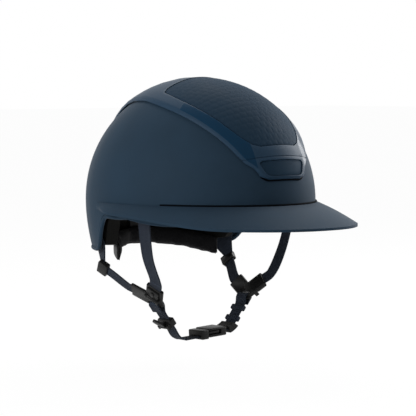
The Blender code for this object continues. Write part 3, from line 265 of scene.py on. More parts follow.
weave, start, end = effect("herringbone weave", {"Across": 0.0, "Along": 0.0, "Yarn": 0.9 * MM},
                           ["Height", "Yarn Tone"])
columns = maths(weave, "DIVIDE", start.outputs["Across"], start.outputs["Yarn"])
rows = maths(weave, "DIVIDE", start.outputs["Along"], start.outputs["Yarn"])
slant = maths(weave, "PINGPONG", columns, YARNS_PER_SLANT)
pick = maths(weave, "SINE", maths(weave, "MULTIPLY", maths(weave, "ADD", rows, slant), math.pi))
warp = maths(weave, "ABSOLUTE", maths(weave, "SINE", maths(weave, "MULTIPLY", columns, math.pi)))
rounded = maths(weave, "POWER", warp, WARP_ROUNDING)
raised = maths(weave, "MULTIPLY", stretch_range(weave, pick, -1.0, 1.0), rounded)
weave.links.new(raised, end.inputs["Height"])
dye = add_node(weave, "ShaderNodeTexNoise",
               {"Vector": own_place(weave), "Scale": DYE_SCALE, "Detail": 2.0})
weave.links.new(dye.outputs["Fac"], end.inputs["Yarn Tone"])

knit, start, end = effect("knitted cloth", {"Loop": 700.0}, ["Height", "Tone"])
place = own_place(knit)
loops = add_node(knit, "ShaderNodeTexVoronoi", {"Vector": place, "Scale": start.outputs["Loop"]})
fluff = add_node(knit, "ShaderNodeTexNoise", {"Vector": place, "Scale": FLUFF_SCALE, "Detail": 4.0})
knit.links.new(loops.outputs["Distance"], end.inputs["Height"])
knit.links.new(fluff.outputs["Fac"], end.inputs["Tone"])
print("effects:", [made.name for made in bpy.data.node_groups])

# %% [markdown]
# ## The finishes
# A finish starts as one Principled shader whose fixed values are typed into its own sockets. Effects
# then vary the colour, the roughness and the surface normal. The hard shell of a real helmet is
# sprayed with a soft-touch lacquer: nearly no shine head on, and a pale bloom where it turns away.
# A little sheen and a low specular level give that, while a plain gloss would look like wet paint.

# %% Make the finishes
TONE_RANGE = (0.93, 1.07)
RUBBED_TINT = 2.2
ROUGHNESS_DRIFT = 0.04


def finish(name, colour, roughness, **fixed):
    """A material with a Principled shader, and its node tree and shader to build on."""
    made = bpy.data.materials.new(name)
    made.use_nodes = True
    shader = made.node_tree.nodes["Principled BSDF"]
    shader.inputs["Base Color"].default_value = (*colour, 1.0)
    shader.inputs["Roughness"].default_value = roughness
    for label, value in fixed.items():
        shader.inputs[label.replace("_", " ")].default_value = value
    return made, made.node_tree, shader


def use(tree, group, **wired):
    """Place a shared effect in a material."""
    return add_node(tree, "ShaderNodeGroup", wired, node_tree=group).outputs


def blend_colours(tree, share, first, second):
    mixed = add_node(tree, "ShaderNodeMix", {0: share}, data_type="RGBA")
    for index, colour in ((6, first), (7, second)):
        if isinstance(colour, bpy.types.NodeSocket):
            tree.links.new(colour, mixed.inputs[index])
        else:
            mixed.inputs[index].default_value = (*colour, 1.0)
    return mixed.outputs[2]


def relief(tree, shader, height, depth):
    bump = add_node(tree, "ShaderNodeBump", {"Height": height, "Distance": depth, "Strength": 1.0})
    tree.links.new(bump.outputs[0], shader.inputs["Normal"])


def vary_roughness(tree, shader, share, middle):
    spread = add_node(tree, "ShaderNodeMapRange", {"Value": share, "To Min": middle - ROUGHNESS_DRIFT,
                                                   "To Max": middle + ROUGHNESS_DRIFT})
    tree.links.new(spread.outputs[0], shader.inputs["Roughness"])


def tinted(colour, factor):
    return tuple(channel * factor for channel in colour)


def moulded(name, colour, roughness, fineness, depth, rubbed, **fixed):
    """A moulded or sprayed plastic: fine grain, a drift of tone, and paler rubbed edges."""
    made, tree, shader = finish(name, colour, roughness, **fixed)
    surface = use(tree, grain, Fineness=fineness)
    toned = blend_colours(tree, surface["Tone"], *(tinted(colour, share) for share in TONE_RANGE))
    rubs = maths(tree, "MULTIPLY", use(tree, wear)["Mask"], rubbed)
    faded = blend_colours(tree, rubs, toned, tinted(colour, RUBBED_TINT))
    tree.links.new(faded, shader.inputs["Base Color"])
    vary_roughness(tree, shader, surface["Tone"], roughness)
    relief(tree, shader, surface["Height"], depth)
    return made


SHELL_NAVY = (0.0165, 0.0335, 0.0545)
BAND_NAVY = (0.0165, 0.038, 0.067)
# Deep blue of the painted reflection on the crown band's side facets.
PAINTED_REFLECTION_NAVY = (0.0035, 0.026, 0.058)
INSERT_NAVY = (0.0125, 0.0285, 0.049)
WEB_NAVY = (0.028, 0.036, 0.053)
THREAD_NAVY = (0.055, 0.07, 0.098)
BLACK = (0.0085, 0.0085, 0.0085)
RUBBER_BLACK = tinted(BLACK, 0.9)
# Black of the painted shadow strips in the gaps at the peak's root and under the band.
PAINTED_SHADOW_BLACK = (0.0012, 0.0018, 0.003)
FOAM_BLACK = (0.0075, 0.0075, 0.007)
KNIT_BLACK = (0.007, 0.007, 0.008)
KNIT_RANGE = ((0.005, 0.005, 0.006), (0.010, 0.010, 0.011))
KNIT_DEPTH = 0.3 * MM
STEEL = (0.42, 0.42, 0.43)
DYE_RANGE = (0.8, 1.2)
YARN_SHADOW = 0.45
WEAVE_DEPTH = 0.18 * MM

shell_lacquer = moulded("shell_lacquer", SHELL_NAVY, roughness=0.65, fineness=2600.0, depth=0.03 * MM,
                        rubbed=0.1, Specular_IOR_Level=0.05, Sheen_Weight=0.1, Sheen_Roughness=0.3)
band_satin = moulded("band_satin", BAND_NAVY, roughness=0.42, fineness=3000.0, depth=0.015 * MM,
                     rubbed=0.06, Specular_IOR_Level=0.06)
# Painted reflection: deep blue gloss for the dark studio seen in the band's side facets.
painted_reflection_gloss = moulded("painted_reflection_gloss", PAINTED_REFLECTION_NAVY, roughness=0.22, fineness=3000.0, depth=0.004 * MM,
                      rubbed=0.0, Specular_IOR_Level=0.06)
insert_satin = moulded("insert_satin", INSERT_NAVY, roughness=0.6, fineness=2600.0, depth=0.02 * MM,
                       rubbed=0.2, Specular_IOR_Level=0.03)
black_moulding = moulded("black_moulding", BLACK, roughness=0.42, fineness=1300.0, depth=0.05 * MM,
                         rubbed=0.5, Specular_IOR_Level=0.14)
sleeve_rubber = moulded("sleeve_rubber", RUBBER_BLACK, roughness=0.6, fineness=1800.0, depth=0.04 * MM,
                        rubbed=0.3, Specular_IOR_Level=0.15)
thread = moulded("thread", THREAD_NAVY, roughness=0.75, fineness=5000.0, depth=0.03 * MM,
                 rubbed=0.0, Specular_IOR_Level=0.08)
# Painted shadow: the black of the strips in the gaps at the peak's root and under the band.
painted_shadow = moulded("painted_shadow", PAINTED_SHADOW_BLACK, roughness=0.8, fineness=1800.0, depth=0.02 * MM,
                      rubbed=0.0, Specular_IOR_Level=0.02)
liner_foam = moulded("liner_foam", FOAM_BLACK, roughness=0.85, fineness=420.0, depth=0.25 * MM,
                     rubbed=0.2, Specular_IOR_Level=0.08)
plain_steel = moulded("plain_steel", STEEL, roughness=0.34, fineness=1800.0, depth=0.01 * MM,
                      rubbed=0.3, Metallic=1.0)

pad_knit, tree, shader = finish("pad_knit", KNIT_BLACK, roughness=0.92, Specular_IOR_Level=0.06,
                                Sheen_Weight=0.05, Sheen_Roughness=0.6)
cloth = use(tree, knit)
tree.links.new(blend_colours(tree, cloth["Tone"], *KNIT_RANGE), shader.inputs["Base Color"])
relief(tree, shader, cloth["Height"], KNIT_DEPTH)

webbing, tree, shader = finish("webbing", WEB_NAVY, roughness=0.8, Specular_IOR_Level=0.08,
                               Sheen_Weight=0.04, Sheen_Roughness=0.5)
strap_map = add_node(tree, "ShaderNodeSeparateXYZ", {0: add_node(tree, "ShaderNodeUVMap").outputs[0]})
yarns = use(tree, weave, Across=strap_map.outputs["X"], Along=strap_map.outputs["Y"])
dyed = blend_colours(tree, yarns["Yarn Tone"], *(tinted(WEB_NAVY, share) for share in DYE_RANGE))
shaded = blend_colours(tree, yarns["Height"], tinted(WEB_NAVY, YARN_SHADOW), dyed)
tree.links.new(shaded, shader.inputs["Base Color"])
relief(tree, shader, yarns["Height"], WEAVE_DEPTH)
finishes = (shell_lacquer, band_satin, painted_reflection_gloss, insert_satin, black_moulding, sleeve_rubber, thread,
            painted_shadow, liner_foam, plain_steel, pad_knit, webbing)
print("finishes:", [made.name for made in finishes])

# %% [markdown]
# ## Smoothing the hard parts
# A solid from the frame is a set of loose flat triangles. One could model each shell again, but its
# shape is already right, so a copy is taken instead: its points are merged, its triangles are paired
# into four-sided faces, its sharp edges get a small round, and a subdivision surface bends the flat
# faces into one curve. The copy stands for the solid, which stays in the motion model.

# %% Copy and smooth the hard parts
MERGE = 0.01 * MM
SMOOTH_ANGLE = math.radians(32.0)
ROUND_SEGMENTS = 2


def work_on(piece):
    """Leave edit mode and select this piece alone, because operators act on all that is selected."""
    if bpy.context.object and bpy.context.object.mode != "OBJECT":
        bpy.ops.object.mode_set(mode="OBJECT")
    bpy.ops.object.select_all(action="DESELECT")
    piece.select_set(True)
    bpy.context.view_layer.objects.active = piece


def apply_modifiers(piece):
    work_on(piece)
    for modifier in list(piece.modifiers):
        bpy.ops.object.modifier_apply(modifier=modifier.name)


def swell(piece, distance):
    """Move every point of the piece outward along its normal."""
    work_on(piece)
    bpy.ops.object.mode_set(mode="EDIT")
    bpy.ops.mesh.select_all(action="SELECT")
    bpy.ops.transform.shrink_fatten(value=distance)
    bpy.ops.object.mode_set(mode="OBJECT")


def copy_of(node, name):
    """A merged copy of a frame node, with its triangles paired into four-sided faces."""
    piece = bpy.data.objects.new(name, nodes[node].data.copy())
    bpy.context.scene.collection.objects.link(piece)
    piece.data.materials.clear()
    work_on(piece)
    bpy.ops.mesh.customdata_custom_splitnormals_clear()
    bpy.ops.object.mode_set(mode="EDIT")
    bpy.ops.mesh.select_all(action="SELECT")
    bpy.ops.mesh.remove_doubles(threshold=MERGE)
    bpy.ops.mesh.tris_convert_to_quads(face_threshold=SMOOTH_ANGLE, shape_threshold=math.pi)
    bpy.ops.object.mode_set(mode="OBJECT")
    return piece


def round_edges(piece, radius):
    """Round every sharp edge of the piece."""
    bevel = piece.modifiers.new("round", "BEVEL")
    bevel.width = radius
    bevel.segments = ROUND_SEGMENTS
    bevel.limit_method = "ANGLE"
    bevel.angle_limit = SMOOTH_ANGLE
    bevel.use_clamp_overlap = True


def subdivide(piece, levels):
    smooth = piece.modifiers.new("smooth", "SUBSURF")
    smooth.levels = levels
    smooth.render_levels = levels


def shade(piece):
    work_on(piece)
    bpy.ops.object.shade_smooth_by_angle(angle=SMOOTH_ANGLE)


def stand_for(piece, node, material):
    """The piece moves with the node's body, takes its finish, and is shown instead of it."""
    piece.data.materials.append(material)
    shade(piece)
    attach(piece, nodes[node]["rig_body"])
    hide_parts(node)
    return piece


def smooth_part(node, material, radius, levels=0):
    """Show a rounded and smoothed copy of a node instead of the node."""
    piece = copy_of(node, node + "_skin")
    round_edges(piece, radius)
    if levels:
        subdivide(piece, levels)
    apply_modifiers(piece)
    return stand_for(piece, node, material)


smooth_part("outer_shell", shell_lacquer, radius=0.9 * MM, levels=2)
smooth_part("peak", shell_lacquer, radius=0.8 * MM, levels=2)
smooth_part("impact_liner", liner_foam, radius=1.2 * MM, levels=1)
smooth_part("rear_vent", black_moulding, radius=0.3 * MM)
smooth_part("cradle_band", black_moulding, radius=0.6 * MM, levels=1)
smooth_part("cradle_track", black_moulding, radius=0.6 * MM)
smooth_part("strap_sleeve", sleeve_rubber, radius=0.7 * MM, levels=1)
for side in ("left", "right"):
    smooth_part("nape_guide_" + side, black_moulding, radius=0.35 * MM)
    smooth_part("divider_" + side, black_moulding, radius=0.35 * MM)
    smooth_part("divider_flap_" + side, black_moulding, radius=0.3 * MM)
for node in ("chin_slider", "chin_slider_lever", "buckle_socket", "buckle_plug",
             "buckle_prong_front", "buckle_prong_rear"):
    smooth_part(node, black_moulding, radius=0.3 * MM)
for node, solid in nodes.items():
    if slots[node] == "steel":
        solid.data.materials.clear()
        solid.data.materials.append(plain_steel)

# %% [markdown]
# ## The rolled lip and the seam shadow
# The lip on the rear edge of the shell is a rolled strip of the shell's own colour. Its solid hangs
# just clear of the edge, as neighbours in a frame must. Here it is pressed up against the edge, and
# its two ends dive in behind the peak, as they do on the real one. A line of shade runs along the
# root of the peak, in the gap where it is let into the dome. It has to follow the true corner, so the
# painted shadow is a thin black strip of its own, not a texture, and it sinks away at the sides.

# %% Press the lip on and lay the painted seam shadow
shell_low, shell_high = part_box("outer_shell")
DOME = Vector(((shell_high.x - shell_low.x) / 2.0, (shell_high.y - shell_low.y) / 2.0, shell_high.z))
LIP_LIFT = 1.0 * MM
LIP_SWELL = 0.3 * MM
LIP_END = math.radians(77.0)
LIP_TUCK_SPAN = math.radians(20.0)
LIP_TUCK = Vector((0.045, 0.045, 4.5 * MM))
SEAM_LEVEL = -0.3 * MM
SEAM_END = math.radians(66.0)
SEAM_FADE = math.radians(7.0)
SEAM_RADIUS = 1.0 * MM
SEAM_STEPS = 160
SEAM_SIDES = 10


def ease(start, end, value):
    share = min(max((value - start) / (end - start), 0.0), 1.0)
    return share * share * (3.0 - 2.0 * share)


def shaped_grid(name, columns, rows, place):
    """A grid whose points are put in place by their shares along and across."""
    bpy.ops.object.select_all(action="DESELECT")
    bpy.ops.mesh.primitive_grid_add(x_subdivisions=columns, y_subdivisions=rows, size=1.0, calc_uvs=True)
    piece = bpy.context.object
    piece.name = name
    for vertex in piece.data.vertices:
        vertex.co = place(vertex.co.x + 0.5, vertex.co.y + 0.5, vertex.index)
    return piece


def close_up(piece):
    """Join the grid's long sides, fill its ends and turn its faces outward."""
    work_on(piece)
    bpy.ops.object.mode_set(mode="EDIT")
    bpy.ops.mesh.select_all(action="SELECT")
    bpy.ops.mesh.remove_doubles(threshold=MERGE)
    bpy.ops.mesh.fill_holes(sides=0)
    bpy.ops.mesh.normals_make_consistent(inside=False)
    bpy.ops.object.mode_set(mode="OBJECT")


lip = copy_of("rim_trim", "rim_trim_skin")
subdivide(lip, 1)
apply_modifiers(lip)
swell(lip, LIP_SWELL)
for vertex in lip.data.vertices:
    turn = math.atan2(abs(vertex.co.x), -vertex.co.y)
    tuck = 1.0 - ease(LIP_END, LIP_END + LIP_TUCK_SPAN, turn)
    vertex.co.x *= 1.0 - tuck * LIP_TUCK.x
    vertex.co.y *= 1.0 - tuck * LIP_TUCK.y
    vertex.co.z += LIP_LIFT + tuck * LIP_TUCK.z
stand_for(lip, "rim_trim", shell_lacquer)


def seam_place(along, across, _):
    azimuth = SEAM_END * (2.0 * along - 1.0)
    ring = Vector((DOME.x * math.sin(azimuth), -DOME.y * math.cos(azimuth), SEAM_LEVEL))
    outward = Vector((ring.x / DOME.x ** 2, ring.y / DOME.y ** 2, 0.0)).normalized()
    shown = ease(0.0, SEAM_FADE, SEAM_END - abs(azimuth))
    turn = math.tau * across
    spread = Vector((outward.x * math.cos(turn), outward.y * math.cos(turn), math.sin(turn)))
    return ring - outward * SEAM_RADIUS * (1.0 - shown) + spread * SEAM_RADIUS


# Painted shadow: a thin black strip in the gap at the root of the peak.
seam_shadow = shaped_grid("peak_seam_shadow", SEAM_STEPS, SEAM_SIDES, seam_place)
close_up(seam_shadow)
seam_shadow.data.materials.append(painted_shadow)
shade(seam_shadow)
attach(seam_shadow, "helmet")
print("seam faces:", len(seam_shadow.data.polygons))

# %% [markdown]
# ## The crown band and its painted reflections
# The band is one satin moulding. On each side a strip of deep blue gloss, cut off square at both
# ends, is painted on it: the deep blue is a painted reflection of the dark studio on the band's side
# facets. The strip could be a thin extra piece, which would need its own fit. Cutting the band's own
# faces along two planes keeps one surface, and the gloss is given to the faces that lie between the
# planes. Above the badge a fine groove crosses the band. It is cut the same way, by two planes close
# together, and the faces between them are pushed in. The imported band ends a little too low in
# front, so its front end and the badge plate are first drawn up along the dome. A thin dark tube under
# that end is the shadow line between the band and the shell.

# %% Dress the crown band with its painted reflection strips
REFLECTION_REAR = (math.radians(66.3), 62.0 * MM)
REFLECTION_FRONT = (math.radians(25.5), 32.3 * MM)
REFLECTION_TURN_REAR = math.radians(-14.0)
TOP_FACE_LEAN = math.radians(13.0)
GAP_ANGLE = math.radians(11.5)
GAP_CORNER_RISE = math.radians(2.4)
GAP_HALF_LENGTH = 29.5 * MM
GAP_STRAIGHT = 20.0 * MM
GAP_RADIUS = 0.9 * MM
GAP_FADE = 0.1
GAP_STEPS = 60
FRONT_FIXED = math.radians(20.8)
FRONT_TIGHTEN = 0.76
FRONT_WIDEN = 0.12
GROOVE_ANGLES = (math.radians(22.3), math.radians(22.65))
GROOVE_WALL = 0.03 * MM
GROOVE_DEPTH = 0.5 * MM
GROOVE_FACING = 0.5
BAND_ROUND = 0.3 * MM
FOOT_ROUNDS = 4


def dome_normal(point):
    return Vector([point[axis] / DOME[axis] ** 2 for axis in range(3)]).normalized()


def crown_point(angle, across):
    """Point on the dome, at an angle back from its front and a distance to the left."""
    ring = math.sqrt(1.0 - (across / DOME.x) ** 2)
    return Vector((across, -DOME.y * ring * math.cos(angle), DOME.z * ring * math.sin(angle)))


def slice_up(piece, planes):
    """Cut new edges into a piece, where each plane, a point and a normal, crosses it."""
    work_on(piece)
    bpy.ops.object.mode_set(mode="EDIT")
    for point, normal in planes:
        bpy.ops.mesh.select_all(action="SELECT")
        bpy.ops.mesh.bisect(plane_co=point, plane_no=normal)
    bpy.ops.object.mode_set(mode="OBJECT")


def sagittal_plane(angle):
    """Plane across the helmet, through the origin and all crown points at an angle."""
    return Vector(), Vector((0.0, math.sin(angle) / DOME.y, math.cos(angle) / DOME.z)).normalized()


def crown_angle(point):
    return math.atan2(point.z / DOME.z, -point.y / DOME.y)


def height_on_dome(point):
    """Foot of a point on the dome, and its height above it."""
    foot = point
    for _ in range(FOOT_ROUNDS):
        size = math.sqrt(sum((foot[axis] / DOME[axis]) ** 2 for axis in range(3)))
        on_dome = foot / size
        height = (point - on_dome).dot(dome_normal(on_dome))
        foot = point - dome_normal(on_dome) * height
    return on_dome, height


def tighten_front(piece):
    """Draw the front end of the band up to the badge, along the dome."""
    for vertex in piece.data.vertices:
        foot, height = height_on_dome(vertex.co)
        below = FRONT_FIXED - crown_angle(foot)
        if foot.y < 0.0 and below > 0.0:
            across = foot.x * (1.0 + FRONT_WIDEN * below / FRONT_FIXED)
            foot = crown_point(FRONT_FIXED - below * FRONT_TIGHTEN, across)
            vertex.co = foot + dome_normal(foot) * height


plate = copy_of("front_plate", "front_plate_skin")
tighten_front(plate)
round_edges(plate, BAND_ROUND)
apply_modifiers(plate)
stand_for(plate, "front_plate", insert_satin)

band = copy_of("crown_band", "crown_band_skin")
tighten_front(band)
ends = []
for side in (1.0, -1.0):
    rear = crown_point(REFLECTION_REAR[0], side * REFLECTION_REAR[1])
    front = crown_point(REFLECTION_FRONT[0], side * REFLECTION_FRONT[1])
    rear_cut = Vector((side * math.sin(REFLECTION_TURN_REAR), -math.cos(REFLECTION_TURN_REAR), 0.0))
    front_cut = Vector((side, 0.0, 0.0))
    slice_up(band, ((rear, rear_cut), (front, front_cut)))
    ends.append((side, rear, rear_cut, front, front_cut))


def in_inlay(centre, normal):
    for side, rear, rear_cut, front, front_cut in ends:
        beside = centre.x * side > 0.0
        between = (centre - rear).dot(rear_cut) > 0.0 and (centre - front).dot(front_cut) > 0.0
        if beside and between and centre.z > 0.0:
            return normal.angle(dome_normal(centre)) < TOP_FACE_LEAN
    return False


work_on(band)
# Faces between the planes on the side facets take the deep blue of the painted reflection.
for polygon in band.data.polygons:
    polygon.select = in_inlay(polygon.center, polygon.normal)
print("inlay faces:", sum(polygon.select for polygon in band.data.polygons))
band.data.materials.append(band_satin)
band.data.materials.append(painted_reflection_gloss)
bpy.ops.object.mode_set(mode="EDIT")
bpy.ops.mesh.select_mode(type="FACE")
bpy.context.object.active_material_index = 1
bpy.ops.object.material_slot_assign()
bpy.ops.object.mode_set(mode="OBJECT")

slice_up(band, [sagittal_plane(angle) for angle in GROOVE_ANGLES])
for polygon in band.data.polygons:
    outward = dome_normal(polygon.center)
    inside = GROOVE_ANGLES[0] < crown_angle(polygon.center) < GROOVE_ANGLES[1]
    polygon.select = inside and polygon.normal.dot(outward) > GROOVE_FACING
print("groove faces:", sum(polygon.select for polygon in band.data.polygons))
bpy.ops.object.mode_set(mode="EDIT")
bpy.ops.mesh.inset(thickness=GROOVE_WALL, depth=-GROOVE_DEPTH, use_boundary=False)
bpy.ops.object.mode_set(mode="OBJECT")
round_edges(band, BAND_ROUND)
apply_modifiers(band)
shade(band)
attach(band, "helmet")
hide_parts("crown_band")


def gap_place(along, across, _):
    """Tube of shadow along the foot of the band, which turns up at its two corners."""
    x = GAP_HALF_LENGTH * (2.0 * along - 1.0)
    corner = max(abs(x) - GAP_STRAIGHT, 0.0) / (GAP_HALF_LENGTH - GAP_STRAIGHT)
    foot = crown_point(GAP_ANGLE + GAP_CORNER_RISE * corner ** 2, x)
    outward = dome_normal(foot)
    up = outward.cross(Vector((1.0, 0.0, 0.0))).normalized()
    turn = math.tau * across
    sunk = GAP_RADIUS * ease(1.0 - GAP_FADE, 1.0, abs(2.0 * along - 1.0))
    return foot - outward * sunk + (outward * math.cos(turn) + up * math.sin(turn)) * GAP_RADIUS


gap = shaped_grid("band_gap", GAP_STEPS, SEAM_SIDES, gap_place)
close_up(gap)
# The tube takes the black of the painted shadow.
gap.data.materials.append(painted_shadow)
shade(gap)
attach(gap, "helmet")

# %% [markdown]
# ## The embossed insert
# The panel in the crown is pressed with rows of small soft cells. A bump in the material would vanish
# at the panel's outline, so the cells are real relief. A new grid would have to be trimmed to the
# panel's rounded outline. Slicing the panel itself, in both directions, gives it enough points and
# keeps the outline. Each point is then set back on the dome and sunk by a rule that knows its place
# in a cell.

# %% Emboss the insert
CELL = 7.4 * MM
CELL_DEPTH = 0.22 * MM
CELL_SQUARENESS = 4.0
INSERT_STEP = 1.25 * MM
INSERT_EDGE = 0.35 * MM
FACING_OUT = 0.5


def steps_between(low, high, step):
    return [low + step * index for index in range(1, int((high - low) / step) + 1)]


def cell_depth(point):
    """How far a point lies below the top of its cell; every other row of cells is set over by half."""
    along = crown_angle(point) * DOME.z / CELL
    across = point.x / CELL + 0.5 * (math.floor(along) % 2)
    u = 2.0 * abs(across % 1.0 - 0.5)
    v = 2.0 * abs(along % 1.0 - 0.5)
    return CELL_DEPTH * (1.0 - (1.0 - u ** CELL_SQUARENESS) * (1.0 - v ** CELL_SQUARENESS))


insert = copy_of("top_insert", "top_insert_skin")
insert_low, insert_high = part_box("top_insert")
angles = [crown_angle(vertex.co) for vertex in insert.data.vertices]
slice_up(insert, [(Vector((x, 0.0, 0.0)), Vector((1.0, 0.0, 0.0)))
                  for x in steps_between(insert_low.x, insert_high.x, INSERT_STEP)])
slice_up(insert, [sagittal_plane(angle)
                  for angle in steps_between(min(angles), max(angles), INSERT_STEP / DOME.z)])
upper = set()
rim = set()
for polygon in insert.data.polygons:
    if polygon.normal.dot(dome_normal(polygon.center)) > FACING_OUT:
        upper.update(polygon.vertices)
    else:
        rim.update(polygon.vertices)
insert_height = max(height_on_dome(insert.data.vertices[index].co)[1] for index in upper)
for index in upper:
    vertex = insert.data.vertices[index]
    foot, _ = height_on_dome(vertex.co)
    lowered = INSERT_EDGE if index in rim else cell_depth(foot)
    vertex.co = foot + dome_normal(foot) * (insert_height - lowered)
print("insert faces:", len(insert.data.polygons), "height in mm:", round(insert_height / MM, 2))
stand_for(insert, "top_insert", insert_satin)

# %% [markdown]
# ## Webbing
# A strap is a flat woven band. Its solid is a chain of rectangular sections, so the sections are read
# back from the frame, one ring of four points after another, and a finer band with soft raised
# selvedges is laid through them. Its texture map runs in metres across and along the band, so that
# the weave follows every bend.

# %% Weave the straps
SECTION_POINTS = ((1.0, 0.0), (0.985, 0.62), (0.93, 0.95), (0.86, 0.8), (0.45, 0.74), (0.0, 0.74))
STEPS_PER_SECTION = 4


def strap_sections(node):
    """Each cross-section of a strap's solid in turn, as its four corner points."""
    solid = copy_of(node, "strap_guide")
    bpy.ops.object.mode_set(mode="EDIT")
    bpy.ops.mesh.select_all(action="SELECT")
    bpy.ops.mesh.tris_convert_to_quads(face_threshold=math.pi, shape_threshold=math.pi)
    bpy.ops.object.mode_set(mode="OBJECT")
    links = {vertex.index: set() for vertex in solid.data.vertices}
    for edge in solid.data.edges:
        first, second = edge.vertices
        links[first].add(second)
        links[second].add(first)
    points = [vertex.co.copy() for vertex in solid.data.vertices]
    corners = [index for index, near in links.items() if len(near) == 3]
    bpy.data.objects.remove(solid)
    ring = {corners[0]} | (links[corners[0]] & set(corners))
    ring |= {index for index in corners if len(links[index] & ring) == 2}
    seen = set(ring)
    rings = [sorted(ring)]
    while ring:
        ring = set().union(*(links[index] for index in ring)) - seen
        seen |= ring
        if ring:
            rings.append(sorted(ring))
    assert len(corners) == 8 and all(len(found) == 4 for found in rings), (node, len(corners))
    return [[points[index] for index in found] for found in rings]


def strap_frames(node):
    """Centre, half-width and half-thickness vectors of each section, turned the same way."""
    found = []
    for corners in strap_sections(node):
        centre = sum(corners, Vector()) / 4.0
        near, middle, _ = sorted(((corner - corners[0]).length, index)
                                 for index, corner in enumerate(corners) if index)
        thick = (corners[near[1]] - corners[0]) / 2.0
        wide = (corners[middle[1]] - corners[0]) / 2.0
        if found:
            wide = wide if wide.dot(found[-1][1]) > 0.0 else -wide
            thick = thick if thick.dot(found[-1][2]) > 0.0 else -thick
        found.append((centre, wide, thick))
    return found


def between(points, share):
    """Value at a share of the way along a smooth curve through the points."""
    spans = len(points) - 1
    span = min(int(share * spans), spans - 1)
    s = share * spans - span
    before = points[max(span - 1, 0)]
    start = points[span]
    end = points[span + 1]
    after = points[min(span + 2, spans)]
    return 0.5 * (2.0 * start + (end - before) * s
                  + (2.0 * before - 5.0 * start + 4.0 * end - after) * s ** 2
                  + (3.0 * start - before - 3.0 * end + after) * s ** 3)


def band_profile():
    """The strap's section as shares of its half-width and half-thickness, once round."""
    upper = [*SECTION_POINTS, *((-x, y) for x, y in SECTION_POINTS[-2::-1])]
    lower = [(x, -y) for x, y in upper[-2:0:-1]]
    return upper + lower


def woven_strap(node):
    frames = strap_frames(node)
    centres, wides, thicks = zip(*frames)
    profile = band_profile()
    count = len(profile)
    steps = (len(frames) - 1) * STEPS_PER_SECTION
    lengths = [0.0]
    for step in range(steps):
        ahead = between(centres, (step + 1) / steps) - between(centres, step / steps)
        lengths.append(lengths[-1] + ahead.length)
    spots = {}

    def place(along, across, index):
        x, y = profile[round(across * count) % count]
        wide = between(wides, along)
        spots[index] = (x * wide.length, lengths[round(along * steps)])
        return between(centres, along) + wide * x + between(thicks, along) * y

    piece = shaped_grid(node + "_woven", steps, count, place)
    for loop in piece.data.loops:
        piece.data.uv_layers[0].data[loop.index].uv = spots[loop.vertex_index]
    close_up(piece)
    print(piece.name, "length in mm:", round(lengths[-1] / MM, 1))
    return stand_for(piece, node, webbing)


for side in ("left", "right"):
    for strap in ("front_strap_", "rear_strap_", "nape_gusset_", "chin_strap_"):
        woven_strap(strap + side)
for node in ("strap_keeper_upper", "strap_keeper_lower"):
    smooth_part(node, webbing, radius=0.5 * MM)
    bpy.ops.object.mode_set(mode="EDIT")
    bpy.ops.mesh.select_all(action="SELECT")
    bpy.ops.uv.cube_project(cube_size=1.0, correct_aspect=False)
    bpy.ops.object.mode_set(mode="OBJECT")

# %% [markdown]
# ## Bar tacks
# Webbing that folds back round a bar is held by a bar tack: a dense zigzag of thread sewn across the
# strap by machine. A picture of stitches would lie flat, so each tack is one thin tube of thread that
# runs to and fro on the strap's outer face, and its ends dip into the weave. Each share is measured
# down the strap from its upper end.

# %% Sew the bar tacks
TACKS = {
    "front_strap_": (0.74,),
    "rear_strap_": (0.2,),
    "chin_strap_": (0.2, 0.26),
    "nape_gusset_": (0.72,),
}
TACK_TURNS = 9
TACK_HALF_LENGTH = 1.3 * MM
TACK_WIDTH = 0.8
TACK_STEPS = 6
THREAD_RADIUS = 0.2 * MM
THREAD_SIDES = 8
THREAD_RISE = 0.78
THREAD_DIP = 0.4
DIP_TURNS = 0.5
UPWARD_SHARE = 0.5


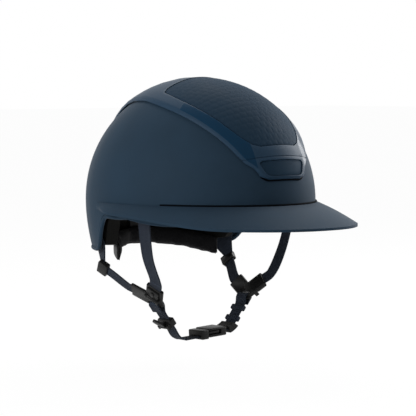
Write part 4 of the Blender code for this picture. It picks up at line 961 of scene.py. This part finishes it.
def bar_tack(node, share, name):
    frames = strap_frames(node)
    if frames[0][0].z < frames[-1][0].z:
        frames.reverse()
    centres, wides, thicks = zip(*frames)
    centre = between(centres, share)
    wide = between(wides, share)
    thick = between(thicks, share)
    if thick.dot(Vector((centre.x, 0.0, centre.z * UPWARD_SHARE))) < 0.0:
        thick = -thick
    along = wide.cross(thick).normalized()
    steps = TACK_TURNS * TACK_STEPS

    def path(turns):
        swing = abs(turns % 2.0 - 1.0) * 2.0 - 1.0
        shown = ease(0.0, DIP_TURNS, min(turns, TACK_TURNS - turns))
        rise = THREAD_RISE * (1.0 - THREAD_DIP + THREAD_DIP * shown)
        return (centre + wide * TACK_WIDTH * (2.0 * turns / TACK_TURNS - 1.0)
                + along * TACK_HALF_LENGTH * swing + thick * rise)

    def place(distance, across, _):
        turn = math.tau * across
        return (path(distance * TACK_TURNS) + wide.normalized() * THREAD_RADIUS * math.cos(turn)
                + thick.normalized() * THREAD_RADIUS * math.sin(turn))

    tack = shaped_grid(name, steps, THREAD_SIDES, place)
    close_up(tack)
    tack.data.materials.append(thread)
    shade(tack)
    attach(tack, nodes[node]["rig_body"])


tack_count = 0
for side in ("left", "right"):
    for strap, shares in TACKS.items():
        for number, share in enumerate(shares):
            bar_tack(strap + side, share, "tack_" + strap + side + "_" + str(number))
            tack_count += 1
print("bar tacks:", tack_count)

# %% [markdown]
# ## Comfort pads
# The pads are foam under black knit. A modelled pillow looks stiff, while a cloth simulation finds
# the small unevenness of real stuffing by itself. Each pad's solid is remeshed evenly, blown up a
# little from inside as cloth, and held so that no point strays further than the pad has room for.

# %% Stuff the pads
PAD_VOXEL = 2.6 * MM
PAD_PRESSURE = 4.0
PAD_FRAMES = 20
FACE_SWELL = 1.6 * MM
BACK_SWELL = 0.25 * MM
PAD_SHRINK = -0.4 * MM
BACK_FACING = 0.2


def stuffed_pad(node):
    piece = copy_of(node, node + "_stuffed")
    piece.data.remesh_voxel_size = PAD_VOXEL
    bpy.ops.object.voxel_remesh()
    swell(piece, PAD_SHRINK)
    rest = [(vertex.co.copy(), vertex.normal.copy()) for vertex in piece.data.vertices]
    stuffing = piece.modifiers.new("stuffing", "CLOTH")
    stuffing.settings.use_pressure = True
    stuffing.settings.uniform_pressure_force = PAD_PRESSURE
    stuffing.settings.effector_weights.gravity = 0.0
    for step in range(1, PAD_FRAMES + 1):
        bpy.context.scene.frame_set(step)
    apply_modifiers(piece)
    for vertex, (home, normal) in zip(piece.data.vertices, rest):
        outward = Vector((home.x, home.y, max(home.z, 0.0))).normalized()
        room_left = BACK_SWELL if normal.dot(outward) > BACK_FACING else FACE_SWELL
        moved = vertex.co - home
        if moved.length > room_left:
            vertex.co = home + moved.normalized() * room_left
    bpy.context.scene.frame_set(1)
    subdivide(piece, 1)
    apply_modifiers(piece)
    stand_for(piece, node, pad_knit)
    print(piece.name, "faces:", len(piece.data.polygons))


for node in ("brow_pad", "crown_pad", "side_pad_left", "side_pad_right", "nape_pad"):
    stuffed_pad(node)
